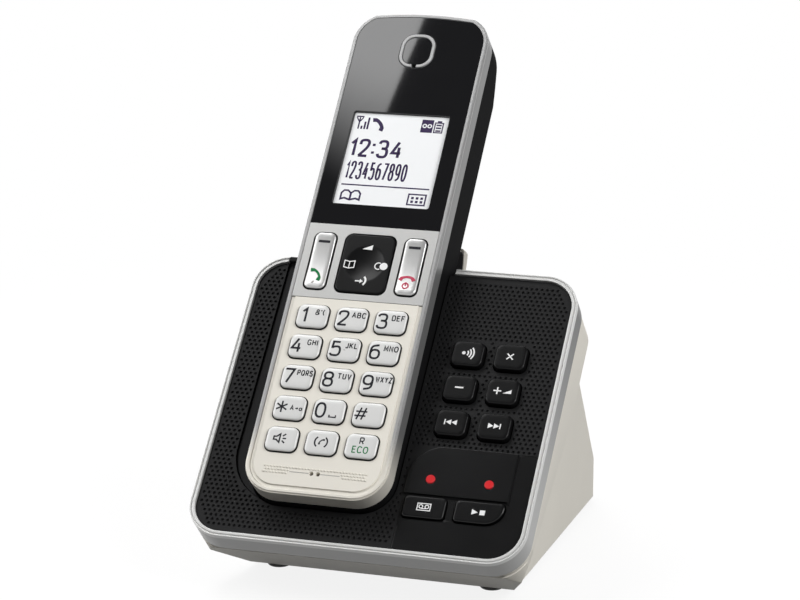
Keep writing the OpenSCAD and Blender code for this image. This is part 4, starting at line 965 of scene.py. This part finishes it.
class PHONE_OT_handset_case(PhoneOperator, bpy.types.Operator):
    """Silver side band, black back case and battery cover"""
    bl_idname = "phone.handset_case"
    bl_label = "Handset Case"
    shells = (("side_band", "band", 0.18), ("back_case", "case_black", 0.3, 3),
              ("battery_cover", "case_black", 0.2))


class PHONE_OT_handset_face(PhoneOperator, bpy.types.Operator):
    """Keypad bezel, function plate, lens and earpiece ring"""
    bl_idname = "phone.handset_face"
    bl_label = "Handset Face"
    shells = (("keypad_bezel", "bezel", 0.15), ("function_plate", "plate", 0.15),
              ("screen_lens", "gloss_black", 0.15), ("earpiece_ring", "band", 0.2, 3))


class PHONE_OT_display(PhoneOperator, bpy.types.Operator):
    """Lit display with its marks"""
    bl_idname = "phone.display"
    bl_label = "Display"
    shells = (("lcd_module", "display", 0.05),)

    def build(self, sizes):
        z, ink = -LCD_DEEP, sizes.ink
        top, low = LCD_Y + LCD_L, LCD_Y
        mast = [box(-15.8, top - 1.8, -13.2, top - 1.3), box(-14.75, top - 6.4, -14.25, top - 1.9)]
        slants = [bar(-14.5, top - 3.7, -14.5 + 1.15 * side, top - 1.9, 0.42) for side in (-1, 1)]
        bars = [box(-13.7 + 1.05 * i, top - 6.4, -13.05 + 1.05 * i, top - 5.2 + 1.7 * i)
                for i in range(3)]
        call = [receiver(-50, -7.3, top - 4.0, 1.45, 0.85)]
        tape = [box(7.4, top - 6.4, 11.5, top - 1.4)]
        tape += ring(8.58, top - 3.8, 0.62, 0.42) + ring(10.32, top - 3.8, 0.62, 0.42)
        cell = frame_of(11.9, top - 6.4, 15.1, top - 2.2, 0.42)
        cell += [box(12.8, top - 2.2, 14.3, top - 1.6)]
        cell += [box(12.6, top - 5.8 + 1.1 * i, 14.4, top - 5.2 + 1.1 * i) for i in range(3)]
        rule = [box(-15.4, low + 7.6, 15.3, low + 8.1)]
        cover = path("-3.6,-2.1 -3.6,0.9 -2.6,2.1 -1,2.1 0,1.2 1,2.1 2.6,2.1 3.6,0.9 3.6,-2.1 "
                     "2,-1.5 0,-2.1 -2,-1.5")
        page = path("3,-1.1 1.9,-0.8 0.35,-1.3 0.35,0.7 1.2,1.5 2.3,1.5 3,0.6")
        book = [turned(loop, 0, -11.3, low + 3.8) for loop in (cover, mirrored(page), page)]
        menu = frame_of(8.5, low + 1.4, 15.0, low + 5.9, 0.52)
        menu += [box(9.8 + 1.6 * i, low + 2.4 + 1.4 * j, 10.7 + 1.6 * i, low + 3.3 + 1.4 * j)
                 for i in range(3) for j in range(2)]
        layers = [mast + bars + call + tape + cell + rule + book + menu]
        layers += [[slant] for slant in slants]
        marks = [flat_sign("display_signs", loops, z, ink) for loops in layers]
        marks += words("display_clock", "12:34", 6.0, -6.4, low + 22.2, z, ink, 1.0, squeeze=0.74)
        marks += words("display_number", "1234567890", 6.1, -4.4, low + 13.5, z, ink, 0.68,
                       squeeze=0.30)
        print_on("display_marks", marks, "lcd_module", ON_HANDSET, "ink_display")


NUMBER_KEYS = (("key_1", "key_2", "key_3"), ("key_4", "key_5", "key_6"),
               ("key_7", "key_8", "key_9"), ("key_star", "key_0", "key_hash"),
               ("key_speaker", "key_intercom", "key_recall"))
LETTERS = {"key_1": "&'(", "key_2": "ABC", "key_3": "DEF", "key_4": "GHI", "key_5": "JKL",
           "key_6": "MNO", "key_7": "PQRS", "key_8": "TUV", "key_9": "WXYZ"}


def number_legend(node, z, ink):
    """Parts of a number key's legend, around the middle of the key."""
    def sign(*loops):
        return [flat_sign(node, loops, z, ink)]

    def figure(text):
        return words(node, text, 4.8, -2.7, 0, z, ink, weight=0.72, squeeze=0.92)

    if node == "key_speaker":
        horn = [path("-2.2,-0.8 -2.2,0.8 -1.2,0.8 0.3,2 0.3,-2 -1.2,-0.8"),
                path("-1.7,-0.3 -1,-0.3 -0.2,-0.95 -0.2,0.95 -1,0.3 -1.7,0.3")]
        rays = [bar(0.9, 0.8, 1.9, 1.6, 0.48), bar(1.0, 0, 2.2, 0, 0.48),
                bar(0.9, -0.8, 1.9, -1.6, 0.48)]
        return sign(*(turned(loop, 0, -0.6) for loop in horn + rays))
    if node == "key_intercom":
        brackets = [band(0, 0, 2.1, 0.5, middle - 52, middle + 52) for middle in (180, 0)]
        return sign(*brackets) + sign(receiver(45, 0, 0.25, 0.62))
    if node == "key_star":
        spokes = [bar(-2.5 - 2.0 * c, -2.0 * d, -2.5 + 2.0 * c, 2.0 * d, 0.55)
                  for c, d in ((0, 1), (0.866, 0.5), (0.866, -0.5))]
        return ([part for spoke in spokes for part in sign(spoke)]
                + words(node, "A>a", 1.6, 2.4, -0.1, z, ink, 0.32))
    if node == "key_0":
        space = path("0.3,-1.4 0.3,-2.4 2.9,-2.4 2.9,-1.4 "
                     "2.46,-1.4 2.46,-1.96 0.74,-1.96 0.74,-1.4")
        return figure("0") + sign(space)
    if node == "key_hash":
        return (sign(bar(-3.7, -2.1, -2.6, 2.1, 0.55), bar(-2.1, -2.1, -1.0, 2.1, 0.55))
                + sign(bar(-4.2, 0.75, -0.5, 0.75, 0.55), bar(-4.5, -0.75, -0.8, -0.75, 0.55)))
    letters = LETTERS[node]
    return figure(node[-1]) + words(node, letters, 1.75, 2.5, 1.35, z, ink, weight=0.36,
                                    squeeze=0.92 if len(letters) < 4 else 0.72)


class PHONE_OT_number_keys(PhoneOperator, bpy.types.Operator):
    """Number and service keys with their legends"""
    bl_idname = "phone.number_keys"
    bl_label = "Number Keys"

    def build(self, sizes):
        model = key_cap("number_key_model", KEY_W, KEY_L, KEY_R, KEY_LOW, KEY_RISE,
                        sizes.key_edge * KEY_EDGE_SHARE, KEY_HOLLOW)
        top, ink = KEY_RISE + KEY_CROWN, sizes.ink
        for r, row in enumerate(NUMBER_KEYS):
            for c, node in enumerate(row):
                spot = ON_HANDSET @ Matrix.Translation(((c - 1) * KEY_PX,
                                                        KEY_Y + (4 - r) * KEY_PY, 0))
                cap = copy_of(model, node + "_cap")
                if node == "key_5":
                    nub = stud("nub", 0.42, 0.24, 0.3, 0.1, 12)
                    nub.location = (0.3, -0.1, top)
                    cap = join(cap.name, [cap, nub])
                stand_for(shade(seat(cap, spot)), node, "key_grey")
                if node == "key_recall":
                    letter = words("recall_letter", "R", 2.1, 0, 1.7, top, ink, 0.38)
                    print_on("recall_letter", letter, node, spot, "ink_dark")
                    saving = words("recall_saving", "ECO", 2.1, 0, -1.4, top, ink, 0.36, 0.9)
                    print_on("recall_saving", saving, node, spot, "ink_green")
                    continue
                print_on(node + "_legend", number_legend(node, top, ink), node, spot, "ink_dark")
        bpy.data.objects.remove(model)


def saddle(y):
    """How far a long key's top dips at a place along it."""
    return LONG_DIP * (1 - (2 * y / LONG_L) ** 2)


def on_saddle(y, x=0.0):
    """Place of a sign on a long key's dipped top."""
    return (Matrix.Translation((0, y, LONG_RISE + KEY_CROWN - saddle(y)))
            @ Matrix.Rotation(8 * LONG_DIP * y / LONG_L ** 2, 4, "X")
            @ Matrix.Translation((x, 0, 0)))


def saddle_key(name):
    """A long key whose top dips in the middle."""
    key = key_cap(name, LONG_W, LONG_L, LONG_R, LONG_LOW, LONG_RISE, LONG_EDGE, KEY_HOLLOW,
                  grow=LONG_FLANGE)
    edit(key)
    for i in range(1, SADDLE_STEPS):
        bpy.ops.mesh.select_all(action="SELECT")
        bpy.ops.mesh.bisect(plane_co=(0, LONG_L * (i / SADDLE_STEPS - 0.5), 0), plane_no=(0, 1, 0))
    close(key)
    edit(key)
    for y in sorted({round(v.co.y, 3) for v in key.data.vertices}):
        pick(key, lambda co: abs(co.y - y) < 1.2 * MERGE and co.z > LONG_RISE - LONG_EDGE - 0.02)
        bpy.ops.transform.translate(value=(0, 0, -saddle(y)))
    return close(key)


class PHONE_OT_function_keys(PhoneOperator, bpy.types.Operator):
    """Navigation key and the two long keys, with their signs"""
    bl_idname = "phone.function_keys"
    bl_label = "Function Keys"
    shells = (("nav_key", "nav_black", 0.2),)

    def print_nav(self, ink):
        """Prints the signs of the navigation key's four ways."""
        up = [path("-2.1,5.3 1.3,5.1 1.3,7")]
        book = [path("-7.2,0.9 -7.2,-1.9 -5.3,-2.3 -3.4,-1.9 -3.4,0.9 -5.3,0.5"),
                path("-6.88,0.5 -6.88,-1.6 -5.45,-1.92 -5.45,0.2"),
                path("-3.72,0.5 -3.72,-1.6 -5.15,-1.92 -5.15,0.2")]
        disc, rim = arc(6.5, -0.6, 1.35, 0, 342, 19), band(4.7, -0.6, 1.2, 0.36, 62, 298)
        shaft, tip = bar(-2.0, -6.6, -0.3, -6.6, 0.42), path("-0.4,-5.8 -0.4,-7.4 0.7,-6.6")
        layers = (up + book + [disc, shaft], [rim, tip], [band(-0.5, -6.4, 2.0, 0.65, -48, 48)])
        print_layers("nav_signs", layers, NAV_RISE + 0.005, ink, "nav_key",
                     ON_HANDSET @ Matrix.Translation((0, NAV_Y, 0)), "ink_light")

    def build(self, sizes):
        ink = sizes.ink
        self.print_nav(ink)
        call = [[receiver(-50, 0.1, 0.3, 1.35)]]
        end = [[receiver(0, -0.2, 1.2, 1.3)], ring(-0.25, -1.8, 1.0, 0.46),
               [bar(-0.25, -1.8, -0.25, -0.4, 0.46)]]
        model = saddle_key("long_key_model")
        for node, side, layers, finish in (("talk_key", -1, call, "ink_green"),
                                           ("off_key", 1, end, "ink_red")):
            spot = ON_HANDSET @ Matrix.Translation((side * LONG_X, NAV_Y, 0))
            stand_for(shade(seat(copy_of(model, node + "_cap"), spot)), node, "long_key")
            print_layers(node + "_dash", [[bar(-2.0, 0, 2.0, 0, 0.9)]], -ink, 3 * ink, node,
                         spot @ on_saddle(7.0), "ink_dark")
            print_layers(node + "_sign", layers, -2 * ink, 5 * ink, node,
                         spot @ on_saddle(-5.4), finish)
            if node == "talk_key":
                print_layers("talk_tick", [[bar(-0.35, -0.4, 0.35, 0.4, 0.6)]], -ink, 3 * ink, node,
                             spot @ on_saddle(-8.3, -0.6), "ink_grey")
        bpy.data.objects.remove(model)


class PHONE_OT_mouthpiece(PhoneOperator, bpy.types.Operator):
    """Rows of fine dots at the handset's mouthpiece, and thin lines of painted shade for its groove
    """
    bl_idname = "phone.mouthpiece"
    bl_label = "Mouthpiece"

    def build(self, sizes):
        bump = stud("mouthpiece_bumps", 0.38, 0.2, 0.42, 0.1)
        places = [((i + 0.5 * (row % 2)) * 1.06, y)
                  for row, y in enumerate((7.0, 8.0, 9.0)) for i in range(-16, 17)]
        scatter(bump, [(x, y) for x, y in places if abs(x) < 17.3 and (abs(x) > 9.0 or y > 8.5)])
        # Painted shade: thin grey lines stand in for the shade in the mouthpiece's groove
        lines = [box(-8.4, 7.45, -2.0, 7.7), box(2.0, 7.45, 8.4, 7.7)]
        print_on("mouthpiece_bumps", [bump], "keypad_bezel", ON_HANDSET, "cream")
        print_layers("mouthpiece_lines", [lines], 0.0, sizes.ink, "keypad_bezel", ON_HANDSET,
                     "ink_grey")


class PHONE_OT_handset_inside(PhoneOperator, bpy.types.Operator):
    """Cells, board and sound parts in the handset"""
    bl_idname = "phone.handset_inside"
    bl_label = "Inside of the Handset"
    shells = tuple((node, finish, 0.08) for node, finish in (
        ("receiver", "black"), ("microphone", "steel"), ("handset_board", "board"),
        ("key_mat", "rubber"), ("ringer", "black"), ("battery_cells", "cell"),
        ("battery_springs", "steel"), ("charge_contacts", "contact"), ("nav_rocker", "black")))


class PHONE_OT_stage(PhoneOperator, bpy.types.Operator):
    """Floor, light and camera"""
    bl_idname = "phone.stage"
    bl_label = "Stage"

    def pale_floor(self):
        """A floor that looks white, keeps a soft shadow and throws little light at the phone."""
        material = bpy.data.materials.new("pale_floor")
        material.use_nodes = True
        material.cycles.emission_sampling = "NONE"
        nodes = Nodes(material.node_tree)
        camera, gloss = nodes.seen()
        place = nodes.node("TexCoord", output="Object")
        away = nodes.node("VectorMath", {0: place}, 1, operation="LENGTH")
        dim, lit = (nodes.node("BsdfDiffuse", {"Color": (grey, grey, grey, 1)})
                    for grey in (0.08, 0.9))
        white = nodes.node("Emission", {"Color": WHITE, "Strength": 1.0})
        pale = nodes.node("MixShader",
                          {0: nodes.smooth(away, 0.1, 0.45, 0.13, 0.0), 1: white, 2: lit})
        shown = nodes.node("MixShader", {0: camera + gloss, 1: dim, 2: pale})
        nodes.node("OutputMaterial", {0: shown})
        return material

    def studio(self):
        """A white room that darkens towards its ceiling in gloss, and lights the phone evenly."""
        world = bpy.data.worlds.new("studio")
        world.use_nodes = True
        nodes = Nodes(world.node_tree)
        camera, gloss = nodes.seen()
        way = nodes.node("TexCoord", output="Generated")
        room = nodes.smooth(nodes.part(way, 2), 0.1, 0.85, 1.0, 0.12)
        level = ROOM_LIGHT + camera * (1 - ROOM_LIGHT) + gloss * (room - ROOM_LIGHT)
        light = nodes.node("Background", {"Color": WHITE, "Strength": level})
        nodes.node("OutputWorld", {0: light})
        return world

    def lamp(self, name, width, length, power):
        lamp = add(name, bpy.ops.object.light_add, type="AREA")
        lamp.data.shape = "RECTANGLE"
        lamp.data.size = width
        lamp.data.size_y = length
        lamp.data.energy = power
        return lamp

    def fade(self, lamp):
        """Lets a lamp fade out towards its lower end."""
        lamp.data.use_nodes = True
        nodes = Nodes(lamp.data.node_tree)
        spot = nodes.node("NewGeometry", output="Parametric")
        glow = nodes.smooth(nodes.part(spot, 1), 0.0, 0.15)
        light = nodes.node("Emission", {"Color": WHITE, "Strength": glow})
        nodes.node("OutputLight", {0: light})

    def build(self, sizes):
        scene = bpy.context.scene
        scene.view_settings.view_transform = "Standard"
        floor = add("floor", bpy.ops.mesh.primitive_plane_add, size=FLOOR_SIZE,
                    location=(0, 0, FLOOR_Z))
        floor.data.materials.append(self.pale_floor())
        scene.world = self.studio()
        for name, place, size, power in LAMPS:
            lamp = self.lamp(name, size, size, power)
            lamp.location = place
            lamp.rotation_euler = (LAMP_TARGET - lamp.location).to_track_quat("-Z", "Y").to_euler()
        softbox = self.lamp("softbox", SOFTBOX_W, SOFTBOX_L, SOFTBOX_POWER)
        self.fade(softbox)
        softbox.location = (SOFTBOX_CORNER + SOFTBOX_SHIFT * SOFTBOX_ALONG
                            - SOFTBOX_W / 2 * SOFTBOX_ACROSS)
        axes = (SOFTBOX_ACROSS, SOFTBOX_ALONG, SOFTBOX_ACROSS.cross(SOFTBOX_ALONG))
        softbox.rotation_euler = Matrix(axes).transposed().to_euler()

        camera = add("photo_camera", bpy.ops.object.camera_add, location=CAMERA_PLACE)
        azimuth, elevation = math.radians(CAMERA_AZIMUTH), math.radians(CAMERA_ELEVATION)
        back_way = Vector((math.sin(azimuth) * math.cos(elevation),
                           -math.cos(azimuth) * math.cos(elevation), math.sin(elevation)))
        camera.rotation_euler = (-back_way).to_track_quat("-Z", "Y").to_euler()
        camera.data.sensor_width = SENSOR
        camera.data.lens = LENS
        camera.data.clip_start = CLIP_START
        scene.camera = camera


PIECES = tuple(PhoneOperator.__subclasses__())


class PHONE_PT_panel(bpy.types.Panel):
    """Lists the phone's sizes, colours and pieces"""
    bl_idname = "PHONE_PT_panel"
    bl_label = "Cordless Phone"
    bl_space_type = "VIEW_3D"
    bl_region_type = "UI"
    bl_category = "Phone"

    def draw(self, context):
        for group in (context.scene.phone_sizes, context.scene.phone_colours):
            for name in group.__annotations__:
                self.layout.prop(group, name)
        for piece in PIECES:
            self.layout.operator(piece.bl_idname)


CLASSES = (PhoneSizes, PhoneColours) + PIECES + (PHONE_PT_panel,)


def register():
    for cls in CLASSES:
        bpy.utils.register_class(cls)
    bpy.types.Scene.phone_sizes = bpy.props.PointerProperty(type=PhoneSizes)
    bpy.types.Scene.phone_colours = bpy.props.PointerProperty(type=PhoneColours)


def unregister():
    del bpy.types.Scene.phone_sizes
    del bpy.types.Scene.phone_colours
    for cls in reversed(CLASSES):
        bpy.utils.unregister_class(cls)


def main():
    register()
    for piece in PIECES:
        group, name = piece.bl_idname.split(".")
        getattr(getattr(bpy.ops, group), name)()


if __name__ == "__main__":
    main()
